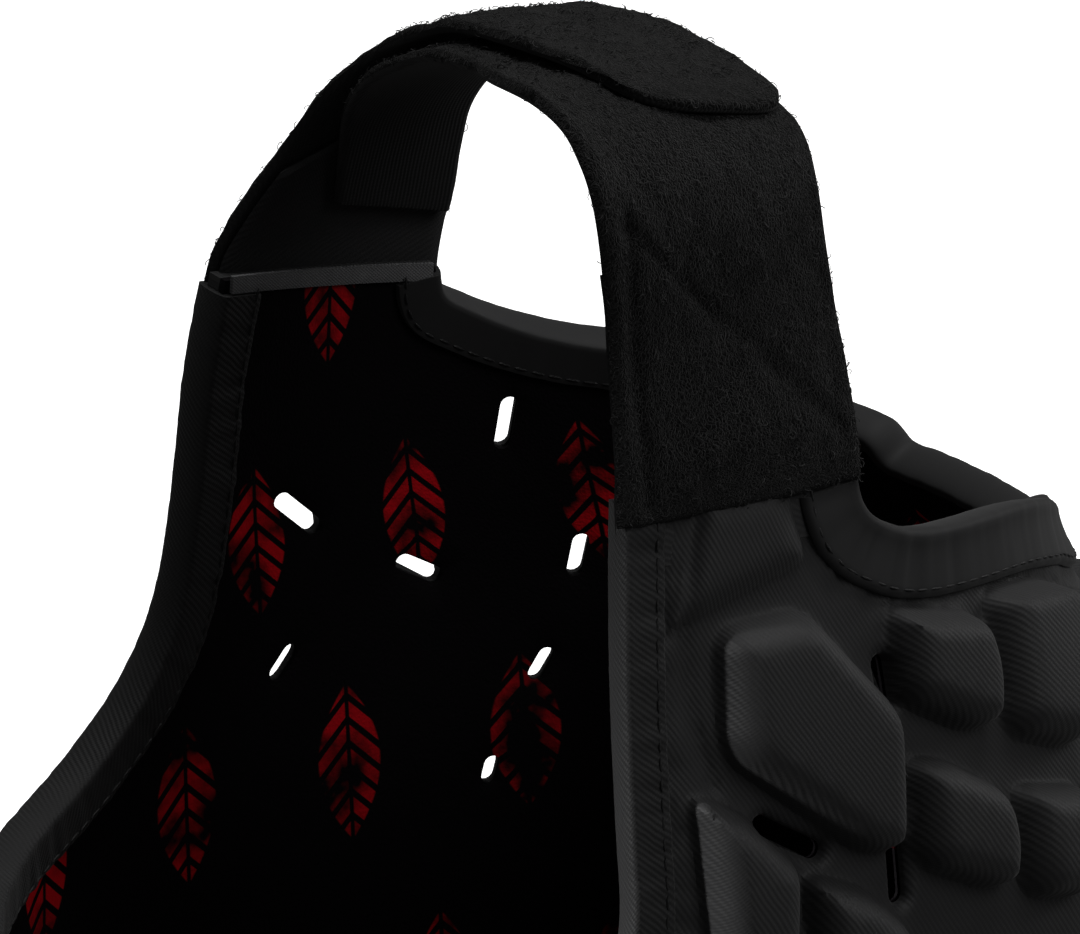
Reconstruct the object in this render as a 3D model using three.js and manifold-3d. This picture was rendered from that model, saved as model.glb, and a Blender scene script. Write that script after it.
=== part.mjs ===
// Rugby headguard, lying crown down with its chin strap closed in an arch above it.
// Millimetres. Z is up from the floor, -Y is the face side and +X is the wearer's right.

import * as THREE from "three";
import { mergeVertices } from "three/addons/utils/BufferGeometryUtils.js";
import Module from "manifold-3d";

const wasm = await Module();
wasm.setup();

// Driving dimensions of the shell
const headBreadth = 161; // ear to ear over the foam sheet, without the pads
const headDepth = 211; // forehead to back over the foam sheet
const headHeight = 229; // crown to the level where the sections end, above the cheek tabs
const cheekHeight = 201; // crown to the end of the foam at the cheeks
const foreheadHeight = 107.5; // crown to the forehead rim
const napeHeight = 166; // crown to the nape rim
const squareness = 2.3; // 2 is an ellipse, more is squarer
const sheetThickness = 3; // foam between two fabrics
const liningThickness = 1;
const clearance = 0.3; // between any two pieces that meet

// Driving dimensions of the pads and vents
const padRise = 6.6; // foam above the sheet
const padCrown = 0.9; // how much higher a pad's middle is than its edge
const padSlope = 3.2; // run of a pad's side wall
const padFlattening = 0.9; // foam pressed flat under the crown where it rests
const padSides = 6;
const ventLength = 10.5;
const ventWidth = 3.2;
const ventEndPoints = 3;

// Driving dimensions of the tapes and the strap
const bindingThickness = 1.1;
const faceBindingWidth = 8.5;
const earBindingWidth = 9.5;
const liningTapeWidth = 3;
const liningTapeThickness = 0.7;
const strapWidth = 44.5;
const strapThickness = 2.2;
const strapHeight = 262.5; // floor to the underside of the arch
const strapMiddle = -13.7; // the strap's middle line, in front of the ear line
const tabThickness = 1.6;
const tabMargin = 1; // the strap covers the tab by this much at each edge

// Derived sizes
const halfBreadth = headBreadth / 2;
const halfDepth = headDepth / 2;
const crownLevel = padRise + padCrown - padFlattening; // the sheet's lowest level
const reach = headBreadth + headDepth; // longer than anything that is cut
const liningTop = -(sheetThickness + clearance);
const liningBottom = liningTop - liningThickness;
const foreheadLevel = crownLevel + foreheadHeight;
const napeLevel = crownLevel + napeHeight;
const cheekLevel = crownLevel + cheekHeight;

// The shell's sections, crown first: height as a share of headHeight,
// half width as a share of half the breadth, front and back as shares of half the depth.
const headSections = [
  { height: 0.0, half: 0.03, front: -0.02, back: 0.03 },
  { height: 0.003, half: 0.42, front: -0.38, back: 0.42 },
  { height: 0.011, half: 0.6, front: -0.55, back: 0.59 },
  { height: 0.035, half: 0.745, front: -0.71, back: 0.75 },
  { height: 0.079, half: 0.857, front: -0.834, back: 0.863 },
  { height: 0.149, half: 0.938, front: -0.924, back: 0.948 },
  { height: 0.245, half: 0.988, front: -0.981, back: 0.995 },
  { height: 0.358, half: 1.0, front: -1.0, back: 1.0 },
  { height: 0.476, half: 0.988, front: -0.986, back: 0.957 },
  { height: 0.585, half: 0.959, front: -0.957, back: 0.881 },
  { height: 0.76, half: 0.865, front: -0.9, back: 0.692 },
  { height: 0.878, half: 0.802, front: -0.872, back: 0.626 },
  { height: 1.0, half: 0.759, front: -0.853, back: 0.588 },
];

// The cheek's front edge from the forehead rim to the tab on either side, and the ear
// cut-out's edge from the tab to the nape: y as a share of half the depth, heights as
// shares of cheekHeight.
const cheekEdge = [
  { y: -0.9, right: 0.54, left: 0.545 },
  { y: -0.74, right: 0.547, left: 0.566 },
  { y: -0.61, right: 0.558, left: 0.587 },
  { y: -0.52, right: 0.574, left: 0.614 },
  { y: -0.445, right: 0.598, left: 0.648 },
  { y: -0.39, right: 0.628, left: 0.692 },
  { y: -0.366, right: 0.68, left: 0.735 },
  { y: -0.355, right: 0.74, left: 0.785 },
  { y: -0.35, right: 0.84, left: 0.85 },
  { y: -0.348, right: 0.925, left: 0.93 },
  { y: -0.33, right: 1.012, left: 1.012 },
];
const earEdge = [
  { y: 0.081, height: 0.988 },
  { y: 0.09, height: 0.96 },
  { y: 0.131, height: 0.944 },
  { y: 0.2, height: 0.93 },
  { y: 0.42, height: 0.913 },
  { y: 0.56, height: 0.887 },
  { y: 0.7, height: 0.846 },
  { y: 1.0, height: 0.825 },
];

// Half the width of the centre panel at each height: a share of half the breadth.
const seamRows = [
  { height: 0.0, front: 0.6, back: 0.6 },
  { height: 0.17, front: 0.59, back: 0.6 },
  { height: 0.5, front: 0.56, back: 0.49 },
  { height: 0.82, front: 0.56, back: 0.25 },
  { height: 1.1, front: 0.56, back: 0.25 },
];

// The upper pads of each side panel: y as a share of half the depth, height as a share of
// cheekHeight, long and wide as shares of padLength, turn in degrees from +Y towards +Z,
// taper as a share of the width lost towards the end that turn points to.
const padLength = 42;
const rightPads = [
  { y: -0.14, height: 0.925, long: 0.46, wide: 0.42, turn: 35, taper: 0.1, rise: 0.3 },
  { y: -0.062, height: 0.8, long: 1.02, wide: 0.68, turn: -62, taper: 0.15, rise: 1 },
  { y: 0.204, height: 0.82, long: 0.54, wide: 0.5, turn: -18, taper: 0.05, rise: 1 },
  { y: 0.412, height: 0.795, long: 0.66, wide: 0.52, turn: 97, taper: 0.1, rise: 1 },
  { y: 0.202, height: 0.7, long: 0.56, wide: 0.5, turn: -18, taper: 0.05, rise: 1 },
  { y: 0.395, height: 0.655, long: 0.52, wide: 0.46, turn: 100, taper: 0.1, rise: 1 },
  { y: -0.195, height: 0.665, long: 0.9, wide: 0.4, turn: -84, taper: -0.1, rise: 1 },
  { y: 0.01, height: 0.605, long: 0.8, wide: 0.48, turn: -82, taper: 0, rise: 1 },
  { y: 0.6, height: 0.77, long: 0.52, wide: 0.4, turn: 97, taper: 0.1, rise: 1 },
  { y: 0.595, height: 0.63, long: 0.56, wide: 0.42, turn: 92, taper: 0, rise: 1 },
];
const leftPads = [
  { y: -0.16, height: 0.915, long: 0.46, wide: 0.42, turn: 35, taper: 0.1, rise: 0.3 },
  { y: 0.045, height: 0.81, long: 0.8, wide: 0.6, turn: 80, taper: 0.1, rise: 1 },
  { y: 0.36, height: 0.82, long: 0.62, wide: 0.48, turn: 97, taper: 0.1, rise: 1 },
  { y: 0.565, height: 0.775, long: 0.54, wide: 0.42, turn: 97, taper: 0.1, rise: 1 },
  { y: -0.245, height: 0.7, long: 0.72, wide: 0.42, turn: -78, taper: -0.1, rise: 1 },
  { y: -0.03, height: 0.665, long: 0.5, wide: 0.42, turn: 60, taper: 0, rise: 1 },
  { y: 0.235, height: 0.71, long: 0.5, wide: 0.44, turn: 95, taper: 0.05, rise: 1 },
  { y: 0.52, height: 0.635, long: 0.6, wide: 0.48, turn: 95, taper: 0.05, rise: 1 },
  { y: 0.14, height: 0.585, long: 0.58, wide: 0.5, turn: 0, taper: 0, rise: 1 },
  { y: -0.17, height: 0.545, long: 0.4, wide: 0.36, turn: 30, taper: 0, rise: 1 },
];

// Lower pads of a side panel in rows: height as a share of cheekHeight, first and last as
// degrees round the head from the side towards the back, long and wide as above.
const sidePadRows = [
  { height: 0.45, first: -51, last: 55, count: 5, long: 0.88, wide: 0.68 },
  { height: 0.28, first: -50, last: 50, count: 5, long: 0.9, wide: 0.7 },
  { height: 0.11, first: -44, last: 44, count: 4, long: 0.88, wide: 0.68 },
];
// Pads of the centre panel in rows: degrees from the crown towards the back,
// spread as a share of half the breadth between neighbours.
const centrePadRows = [
  { degrees: -75, count: 2, spread: 0.54, long: 0.7, wide: 0.88 },
  { degrees: -55, count: 3, spread: 0.36, long: 0.76, wide: 0.62 },
  { degrees: -35, count: 3, spread: 0.37, long: 0.84, wide: 0.64 },
  { degrees: -13, count: 3, spread: 0.38, long: 0.92, wide: 0.66 },
  { degrees: 12, count: 3, spread: 0.38, long: 0.92, wide: 0.66 },
  { degrees: 35, count: 3, spread: 0.37, long: 0.84, wide: 0.64 },
  { degrees: 56, count: 2, spread: 0.52, long: 0.76, wide: 0.82 },
  { degrees: 76, count: 2, spread: 0.46, long: 0.74, wide: 0.7 },
  { degrees: 95, count: 2, spread: 0.38, long: 0.66, wide: 0.56 },
  { degrees: 112, count: 2, spread: 0.32, long: 0.5, wide: 0.42 },
];

// Vents seen through each side panel, long as a share of ventLength, and the centre panel's.
const rightVents = [
  { y: 0.098, height: 0.822, long: 0.85, turn: 90 },
  { y: -0.1, height: 0.722, long: 1.35, turn: -32 },
  { y: 0.087, height: 0.674, long: 1, turn: 90 },
  { y: 0.28, height: 0.57, long: 1.2, turn: -10 },
  { y: -0.2, height: 0.515, long: 1, turn: -20 },
  { y: 0.5, height: 0.52, long: 1, turn: 10 },
];
const leftVents = [
  { y: 0.229, height: 0.829, long: 1, turn: 85 },
  { y: -0.134, height: 0.773, long: 1.25, turn: -42 },
  { y: 0.107, height: 0.696, long: 1, turn: -30 },
  { y: 0.386, height: 0.69, long: 0.85, turn: 82 },
  { y: -0.141, height: 0.632, long: 0.7, turn: 53 },
  { y: 0.341, height: 0.585, long: 0.65, turn: 61 },
  { y: 0.259, height: 0.49, long: 0.5, turn: 77 },
];
const sideVentRows = [
  { height: 0.36, first: -37, last: 41, count: 2, turn: 0 },
  { height: 0.2, first: -15, last: 15, count: 2, turn: 0 },
];
const centreVentRows = [
  { degrees: -65, across: 0, turn: 0 },
  { degrees: -24, across: 0.19, turn: 0 },
  { degrees: 46, across: 0, turn: 0 },
  { degrees: 86, across: 0, turn: 0 },
];
const napeVent = { across: -0.1, belowRim: 3.4, long: 0.85 };

// The closed loop of the chin strap from the right cheek over the arch to the left cheek.
// x as a share of the half width at the cheeks, rise as a share of the way from the cheek
// level to strapHeight, lean as how far the front edge turns out. laid is 0 where the right
// strap lies on the outside of the tab and 1 where it is tucked inside the left one. The
// other columns are each strap's edges, as shares of strapWidth from the middle line.
const strapColumns = [
  "x", "rise", "lean", "laid", "rightFront", "rightBack", "leftFront", "leftBack"];
const strapRows = [
  [1.0, -0.2, 0, 0, -0.5, 0.5, -0.2, 0.2],
  [1.0, -0.06, 0, 0, -0.5, 0.5, -0.2, 0.2],
  [1.0, 0.09, 0.01, 0, -0.485, 0.49, -0.2, 0.2],
  [0.912, 0.48, 0.052, 0, -0.46, 0.46, -0.2, 0.2],
  [0.895, 0.664, 0.085, 0, -0.466, 0.44, -0.2, 0.2],
  [0.865, 0.792, 0.121, 0, -0.474, 0.443, -0.05, 0.25],
  [0.804, 0.898, 0.152, 0, -0.474, 0.461, 0, 0.36],
  [0.713, 0.961, 0.161, 0, -0.461, 0.48, -0.12, 0.438],
  [0.57, 0.989, 0.141, 0, -0.447, 0.49, -0.178, 0.466],
  [0.35, 1.0, 0.089, 0.12, -0.405, 0.5, -0.172, 0.488],
  [0.085, 0.982, 0.029, 0.35, -0.278, 0.5, -0.116, 0.5],
  [-0.193, 0.945, 0.01, 0.6, -0.227, 0.5, -0.065, 0.5],
  [-0.419, 0.861, -0.009, 0.8, -0.185, 0.49, -0.034, 0.5],
  [-0.604, 0.765, -0.023, 0.95, -0.147, 0.475, -0.014, 0.5],
  [-0.744, 0.649, -0.045, 1.0, -0.099, 0.471, -0.067, 0.5],
  [-0.833, 0.53, -0.041, 1.0, -0.06, 0.467, -0.13, 0.505],
  [-0.893, 0.387, -0.014, 1.0, -0.026, 0.463, -0.225, 0.508],
  [-0.952, 0.209, 0.01, 1.0, 0, 0.464, -0.37, 0.512],
  [-1.0, 0.075, 0, 1.0, 0, 0.46, -0.453, 0.51],
  [-1.0, -0.06, 0, 1.0, 0, 0.46, -0.48, 0.5],
  [-1.0, -0.2, 0, 1.0, 0, 0.46, -0.48, 0.5],
].map((row) => Object.fromEntries(strapColumns.map((name, k) => [name, row[k]])));
// Where each piece starts and ends on the loop, counted in rows of the table, at its
// front edge and at its back edge.
const loopEnds = {
  rightStrap: { startFront: 1, startBack: 1, endFront: 16.5, endBack: 16.4 },
  leftStrap: { startFront: 19, startBack: 19, endFront: 7.2, endBack: 6.9 },
  rightTab: { startFront: 0, startBack: 0, endFront: 3.9, endBack: 3.7 },
  leftTab: { startFront: 20, startBack: 20, endFront: 16.2, endBack: 14.4 },
};

const materials = {
  shell: { color: 0x1b1b1c, roughness: 0.82 },
  lining: { color: 0x0b090d, roughness: 0.9 },
  binding: { color: 0x202021, roughness: 0.8 },
  tape: { color: 0x55555a, roughness: 0.7 },
  loopPile: { color: 0x19191a, roughness: 0.95 },
};

// A smooth curve through the rows of a table that never overshoots them
function valueAt(rows, key, place, placeKey = "height") {
  const last = rows.length - 1;
  const at = THREE.MathUtils.clamp(place, rows[0][placeKey], rows[last][placeKey]);
  let i = 0;
  while (i < last - 1 && at > rows[i + 1][placeKey]) i++;
  const run = (k) => rows[k + 1][placeKey] - rows[k][placeKey];
  const grade = (k) => (rows[k + 1][key] - rows[k][key]) / run(k);
  const slope = (k) => {
    if (k === 0) return grade(0);
    if (k === last) return grade(last - 1);
    const before = grade(k - 1);
    const after = grade(k);
    return before * after > 0 ? (2 * before * after) / (before + after) : 0;
  };
  const t = (at - rows[i][placeKey]) / run(i);
  const start = rows[i][key] * (1 + 2 * t) * (1 - t) ** 2 + slope(i) * run(i) * t * (1 - t) ** 2;
  return start + rows[i + 1][key] * t * t * (3 - 2 * t) + slope(i + 1) * run(i) * t * t * (t - 1);
}

// Half width and middle of the shell's outer face at a level
function sectionAt(z) {
  const height = (z - crownLevel) / headHeight;
  const front = valueAt(headSections, "front", height) * halfDepth;
  const back = valueAt(headSections, "back", height) * halfDepth;
  return {
    half: valueAt(headSections, "half", height) * halfBreadth,
    middle: (front + back) / 2,
    length: (back - front) / 2,
  };
}

// Below 1 inside the shell's outer face, 1 on it and more outside
function shellValue(point) {
  const { half, middle, length } = sectionAt(point.z);
  const across = Math.abs(point.x / half) ** squareness;
  const along = Math.abs((point.y - middle) / length) ** squareness;
  return point.z < crownLevel ? 1 + across + along : across + along;
}

function sheetX(y, z) {
  const { half, middle, length } = sectionAt(z);
  const along = Math.min(1, Math.abs((y - middle) / length) ** squareness);
  return half * (1 - along) ** (1 / squareness);
}

function normalAt(point) {
  const step = 0.4;
  const lift = point.z - step < crownLevel ? crownLevel + step - point.z : 0;
  const centre = point.clone().add(new THREE.Vector3(0, 0, lift));
  const slope = (axis) => shellValue(centre.clone().addScaledVector(axis, step)) -
    shellValue(centre.clone().addScaledVector(axis, -step));
  const x = slope(new THREE.Vector3(1, 0, 0));
  const y = slope(new THREE.Vector3(0, 1, 0));
  const z = slope(new THREE.Vector3(0, 0, 1));
  return new THREE.Vector3(x, y, z).normalize();
}

// The outer face's point that is met from inside in a direction
function cast(from, direction, length) {
  let near = 0;
  let far = length;
  for (let k = 0; k < 40; k++) {
    const middle = (near + far) / 2;
    const inside = shellValue(from.clone().addScaledVector(direction, middle)) < 1;
    if (inside) near = middle;
    else far = middle;
  }
  return from.clone().addScaledVector(direction, near);
}

function solid(geometry) {
  const bare = geometry.clone();
  bare.deleteAttribute("normal");
  bare.deleteAttribute("uv");
  const merged = mergeVertices(bare, 1e-4);
  return new wasm.Manifold(new wasm.Mesh({
    numProp: 3,
    vertProperties: merged.attributes.position.array,
    triVerts: new Uint32Array(merged.index.array),
  }));
}

function joined(solids) {
  return solids.reduce((sum, next) => sum.add(next));
}

function geometryFrom(points, triangles) {
  const geometry = new THREE.BufferGeometry().setFromPoints(points);
  geometry.setIndex(triangles);
  return geometry;
}

// Quads between two rings of the same count, wound so that they face out
function wallBetween(lower, upper, count, triangles) {
  for (let k = 0; k < count; k++) {
    const next = (k + 1) % count;
    triangles.push(lower + k, lower + next, upper + next, lower + k, upper + next, upper + k);
  }
}

function capAt(pole, ring, count, turned, triangles) {
  for (let k = 0; k < count; k++) {
    const next = (k + 1) % count;
    if (turned) triangles.push(pole, ring + next, ring + k);
    else triangles.push(pole, ring + k, ring + next);
  }
}

// One layer of the bowl between two offsets from the sheet's outer face
const layerSegments = 24;
function bowlLayer(outer, inner) {
  const points = [];
  const triangles = [];
  const rows = headSections.map((row) => crownLevel + row.height * headHeight);
  for (const offset of [outer, inner]) {
    points.push(new THREE.Vector3(0, 0, crownLevel - offset));
    for (const z of rows) {
      const { half, middle, length } = sectionAt(z);
      for (let k = 0; k < layerSegments; k++) {
        const angle = (2 * Math.PI * k) / layerSegments;
        const bend = (value) => Math.sign(value) * Math.abs(value) ** (2 / squareness);
        const onFace = new THREE.Vector3(
          half * bend(Math.cos(angle)), middle + length * bend(Math.sin(angle)), z);
        points.push(onFace.addScaledVector(normalAt(onFace), offset));
      }
    }
  }
  const layerSize = 1 + rows.length * layerSegments;
  const ring = (layer, row) => layer * layerSize + 1 + row * layerSegments;
  capAt(0, ring(0, 0), layerSegments, true, triangles);
  capAt(layerSize, ring(1, 0), layerSegments, false, triangles);
  for (let row = 0; row + 1 < rows.length; row++) {
    wallBetween(ring(0, row), ring(0, row + 1), layerSegments, triangles);
    wallBetween(ring(1, row + 1), ring(1, row), layerSegments, triangles);
  }
  wallBetween(ring(0, rows.length - 1), ring(1, rows.length - 1), layerSegments, triangles);
  return solid(geometryFrom(points, triangles));
}

// A side-view outline of points [y, z], carried right through along X
function sidePrism(outline, from = -reach, to = reach) {
  const shape = new THREE.Shape(outline.map(([y, z]) => new THREE.Vector2(y, z)));
  const geometry = new THREE.ExtrudeGeometry(shape, { depth: to - from, bevelEnabled: false });
  const basis = new THREE.Matrix4().makeBasis(
    new THREE.Vector3(0, 1, 0), new THREE.Vector3(0, 0, 1), new THREE.Vector3(1, 0, 0));
  return solid(geometry.applyMatrix4(basis).translate(from, 0, 0));
}

// A front-view outline of points [x, z], carried along Y
function frontPrism(outline, from, to) {
  const shape = new THREE.Shape(outline.map(([x, z]) => new THREE.Vector2(x, z)));
  const geometry = new THREE.ExtrudeGeometry(shape, { depth: to - from, bevelEnabled: false });
  const basis = new THREE.Matrix4().makeBasis(
    new THREE.Vector3(1, 0, 0), new THREE.Vector3(0, 0, 1), new THREE.Vector3(0, -1, 0));
  return solid(geometry.applyMatrix4(basis).translate(0, to, 0));
}

function edgePoints(rows, key, pieces) {
  const knots = rows.map((row) =>
    new THREE.Vector2(row.y * halfDepth, crownLevel + row[key] * cheekHeight));
  return new THREE.SplineCurve(knots).getSpacedPoints(pieces).map(({ x, y }) => [x, y]);
}
const edgePieces = 10;
const cheekCurves = {
  right: edgePoints(cheekEdge, "right", edgePieces),
  left: edgePoints(cheekEdge, "left", edgePieces),
};
const earCurve = edgePoints(earEdge, "height", edgePieces);

const halfSpace = (from, to) => sidePrism(
  [[-reach, -reach], [reach, -reach], [reach, reach], [-reach, reach]], from, to);
const rightHalf = halfSpace(0, reach);
const leftHalf = halfSpace(-reach, 0);

// A shape of each side's own cheek curve, kept on that side only
function onBothSides(shapeOf) {
  return shapeOf(cheekCurves.right).intersect(rightHalf)
    .add(shapeOf(cheekCurves.left).intersect(leftHalf));
}

// What is kept of a side panel below its rim, and what is kept of the centre panel
const belowSideRim = onBothSides((cheekCurve) => sidePrism([
  [-reach, -reach], [reach, -reach], [reach, earCurve.at(-1)[1]],
  ...[...earCurve].reverse(), ...[...cheekCurve].reverse(), [-reach, cheekCurve[0][1]],
]));
const belowCentreRim = sidePrism([
  [-reach, -reach], [reach, -reach], [reach, napeLevel], [0, napeLevel],
  [0, foreheadLevel], [-reach, foreheadLevel],
]);

// The strip of the centre panel, widened or narrowed by grow
function centreStrip(grow) {
  const outline = (key) => {
    const right = seamRows.map((row) => [
      row[key] * halfBreadth + grow, crownLevel + row.height * cheekHeight,
    ]);
    right.unshift([right[0][0], -reach]);
    right.push([right.at(-1)[0], reach]);
    return [...right, ...right.map(([x, z]) => [-x, z]).reverse()];
  };
  return frontPrism(outline("front"), -reach, 0).add(frontPrism(outline("back"), 0, reach));
}
const innerStrip = centreStrip(-clearance);
const outerStrip = centreStrip(clearance / 2);

// A band of a width along an edge curve, on the shell's side of it
function bandAlong(curve, width) {
  const spare = 2 * sheetThickness;
  const offset = (distance) => curve.map(([y, z], i) => {
    const [y0, z0] = curve[Math.max(0, i - 1)];
    const [y1, z1] = curve[Math.min(curve.length - 1, i + 1)];
    const length = Math.hypot(y1 - y0, z1 - z0);
    return [y - ((z1 - z0) / length) * distance, z + ((y1 - y0) / length) * distance];
  });
  return [...offset(-width), ...offset(spare).reverse()];
}
const strapStart = crownLevel + cheekHeight + strapRows[1].rise * (strapHeight - cheekLevel);
const belowStrap = sidePrism([
  [-reach, -reach], [reach, -reach], [reach, strapStart - 2 * clearance],
  [-reach, strapStart - 2 * clearance],
]);

function faceBand(grow) {
  return onBothSides((cheekCurve) => sidePrism(
    bandAlong([[-reach, foreheadLevel], ...cheekCurve], faceBindingWidth + grow)));
}

function earBand(grow) {
  const side = sidePrism(bandAlong(earCurve, earBindingWidth + grow)).subtract(innerStrip);
  const nape = sidePrism([
    [0, napeLevel - earBindingWidth - grow], [reach, napeLevel - earBindingWidth - grow],
    [reach, napeLevel], [0, napeLevel],
  ]).intersect(centreStrip(clearance));
  return side.add(nape);
}

// A place on the outer face with its normal and the directions along it
function seat(point, upwards) {
  const normal = normalAt(point);
  const along = new THREE.Vector3().crossVectors(upwards, normal).normalize();
  const up = new THREE.Vector3().crossVectors(normal, along);
  return { point, normal, along, up };
}

// side is 1 for the wearer's right and -1 for the left, and turns a layout over with it
function sideSeat(side, y, z) {
  const place = seat(new THREE.Vector3(side * sheetX(y, z), y, z), new THREE.Vector3(0, 0, 1));
  if (side < 0) place.along.negate();
  return place;
}

function rowSeat(side, degrees, z) {
  const { half, middle, length } = sectionAt(z);
  const angle = THREE.MathUtils.degToRad(degrees);
  const hub = new THREE.Vector3(0, middle, z);
  const direction = new THREE.Vector3(side * half * Math.cos(angle), length * Math.sin(angle), 0);
  const place = seat(cast(hub, direction.normalize(), reach), new THREE.Vector3(0, 0, 1));
  if (side < 0) place.along.negate();
  return place;
}

function centreSeat(across, degrees) {
  const angle = THREE.MathUtils.degToRad(degrees);
  const hub = new THREE.Vector3(across * halfBreadth, 0, crownLevel + halfDepth);
  const direction = new THREE.Vector3(0, Math.sin(angle), -Math.cos(angle));
  const point = cast(hub, direction, reach);
  return seat(point, new THREE.Vector3(0, Math.cos(angle), Math.sin(angle)));
}

function onSeat(place, along, up) {
  const start = place.point.clone().addScaledVector(place.along, along)
    .addScaledVector(place.up, up).addScaledVector(place.normal, -padLength);
  return cast(start, place.normal, 2 * padLength);
}

// A raised pad: a rounded outline on the face, sloped sides and a slightly domed top
function pad(place, { long, wide, turn = 0, taper = 0, rise = 1 }) {
  const spin = THREE.MathUtils.degToRad(turn);
  const corner = 2 / 3.4; // rounds the outline's corners
  const ringAt = (inset, height) => Array.from({ length: padSides }, (_, k) => {
    const angle = (2 * Math.PI * (k + 0.5)) / padSides;
    const bend = (value) => Math.sign(value) * Math.abs(value) ** corner;
    const u = bend(Math.cos(angle)) * ((long * padLength) / 2 - inset);
    const narrow = 1 - (taper * u) / ((long * padLength) / 2);
    const v = bend(Math.sin(angle)) * ((wide * padLength) / 2 - inset) * narrow;
    const face = onSeat(place, u * Math.cos(spin) - v * Math.sin(spin),
      u * Math.sin(spin) + v * Math.cos(spin));
    return face.addScaledVector(normalAt(face), height);
  });
  const bottom = place.point.clone().addScaledVector(place.normal, -sheetThickness / 2);
  const top = place.point.clone().addScaledVector(place.normal, (padRise + padCrown) * rise);
  const points = [bottom, ...ringAt(0, -sheetThickness / 2),
    ...ringAt(padSlope * rise, padRise * rise), top];
  const triangles = [];
  const mirrored = new THREE.Vector3().crossVectors(place.along, place.up)
    .dot(place.normal) < 0;
  capAt(0, 1, padSides, true, triangles);
  wallBetween(1, 1 + padSides, padSides, triangles);
  capAt(points.length - 1, 1 + padSides, padSides, false, triangles);
  if (mirrored) triangles.reverse();
  return solid(geometryFrom(points, triangles));
}

// A round-ended slot right through every layer
function vent(place, long, turn) {
  const length = long * ventLength;
  const radius = ventWidth / 2;
  const end = (side) => Array.from({ length: ventEndPoints }, (_, k) => {
    const angle = Math.PI * (side + k / (ventEndPoints - 1) - 0.5);
    const middle = (side ? -1 : 1) * (length / 2 - radius);
    return new THREE.Vector2(middle + radius * Math.cos(angle), radius * Math.sin(angle));
  });
  const depth = 4 * (sheetThickness + padRise);
  const shape = new THREE.Shape([...end(0), ...end(1)]);
  const geometry = new THREE.ExtrudeGeometry(shape, { depth, bevelEnabled: false });
  geometry.translate(0, 0, -depth / 2).rotateZ(THREE.MathUtils.degToRad(turn));
  const across = new THREE.Vector3().crossVectors(place.normal, place.along);
  const basis = new THREE.Matrix4().makeBasis(place.along, across, place.normal);
  geometry.applyMatrix4(basis).translate(...place.point.toArray());
  return solid(geometry);
}

function sidePads(side, upperPads) {
  const upper = upperPads.map((row) => pad(
    sideSeat(side, row.y * halfDepth, crownLevel + row.height * cheekHeight), row));
  const lower = sidePadRows.flatMap((row) => Array.from({ length: row.count }, (_, k) => {
    const degrees = THREE.MathUtils.lerp(row.first, row.last, k / (row.count - 1));
    return pad(rowSeat(side, degrees, crownLevel + row.height * cheekHeight), row);
  }));
  return joined([...upper, ...lower]);
}

function sideVents(side, upperVents) {
  const upper = upperVents.map((row) => vent(
    sideSeat(side, row.y * halfDepth, crownLevel + row.height * cheekHeight),
    row.long, side * row.turn));
  const lower = sideVentRows.flatMap((row) => Array.from({ length: row.count }, (_, k) => {
    const degrees = THREE.MathUtils.lerp(row.first, row.last, k / (row.count - 1));
    return vent(rowSeat(side, degrees, crownLevel + row.height * cheekHeight), 1, row.turn);
  }));
  return joined([...upper, ...lower]);
}

function centrePads() {
  return joined(centrePadRows.flatMap((row) => Array.from({ length: row.count }, (_, k) => {
    const across = (k - (row.count - 1) / 2) * row.spread;
    return pad(centreSeat(across, row.degrees), { long: row.wide, wide: row.long });
  })));
}

function centreVents() {
  const rows = centreVentRows.flatMap(({ degrees, across, turn }) =>
    (across ? [-across, across] : [0]).map((x) => vent(centreSeat(x, degrees), 1, turn)));
  const hub = new THREE.Vector3(napeVent.across * halfBreadth, 0, napeLevel - napeVent.belowRim);
  const nape = seat(cast(hub, new THREE.Vector3(0, 1, 0), reach), new THREE.Vector3(0, 0, 1));
  return joined([...rows, vent(nape, napeVent.long, 0)]);
}

// The strap's line over the arch at a fractional row of its table
const cheekHalf = sheetX(strapMiddle, cheekLevel);
const strapPlaces = strapRows.map((row, index) => {
  const z = cheekLevel + row.rise * (strapHeight - cheekLevel);
  const x = Math.abs(row.x) === 1 ? Math.sign(row.x) * sheetX(strapMiddle, z) : row.x * cheekHalf;
  return { ...row, index, lineX: x, lineZ: z };
});
const loopAt = (key, place) => valueAt(strapPlaces, key, place, "index");

function loopPoint(place, y, offset) {
  const step = 0.05;
  const last = strapRows.length - 1;
  const [before, after] = [Math.max(0, place - step), Math.min(last, place + step)];
  const dx = loopAt("lineX", after) - loopAt("lineX", before);
  const dz = loopAt("lineZ", after) - loopAt("lineZ", before);
  const length = Math.hypot(dx, dz);
  // The head's curve at the cheek, which fades towards the top of the arch
  const sag = cheekHalf - sheetX(y, cheekLevel);
  const fade = 1 - 0.6 * Math.min(1, Math.max(0, loopAt("rise", place)));
  const out = offset - sag * fade + loopAt("lean", place) * (strapMiddle - y);
  return new THREE.Vector3(loopAt("lineX", place) + (dz / length) * out, y,
    loopAt("lineZ", place) - (dx / length) * out);
}

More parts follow.
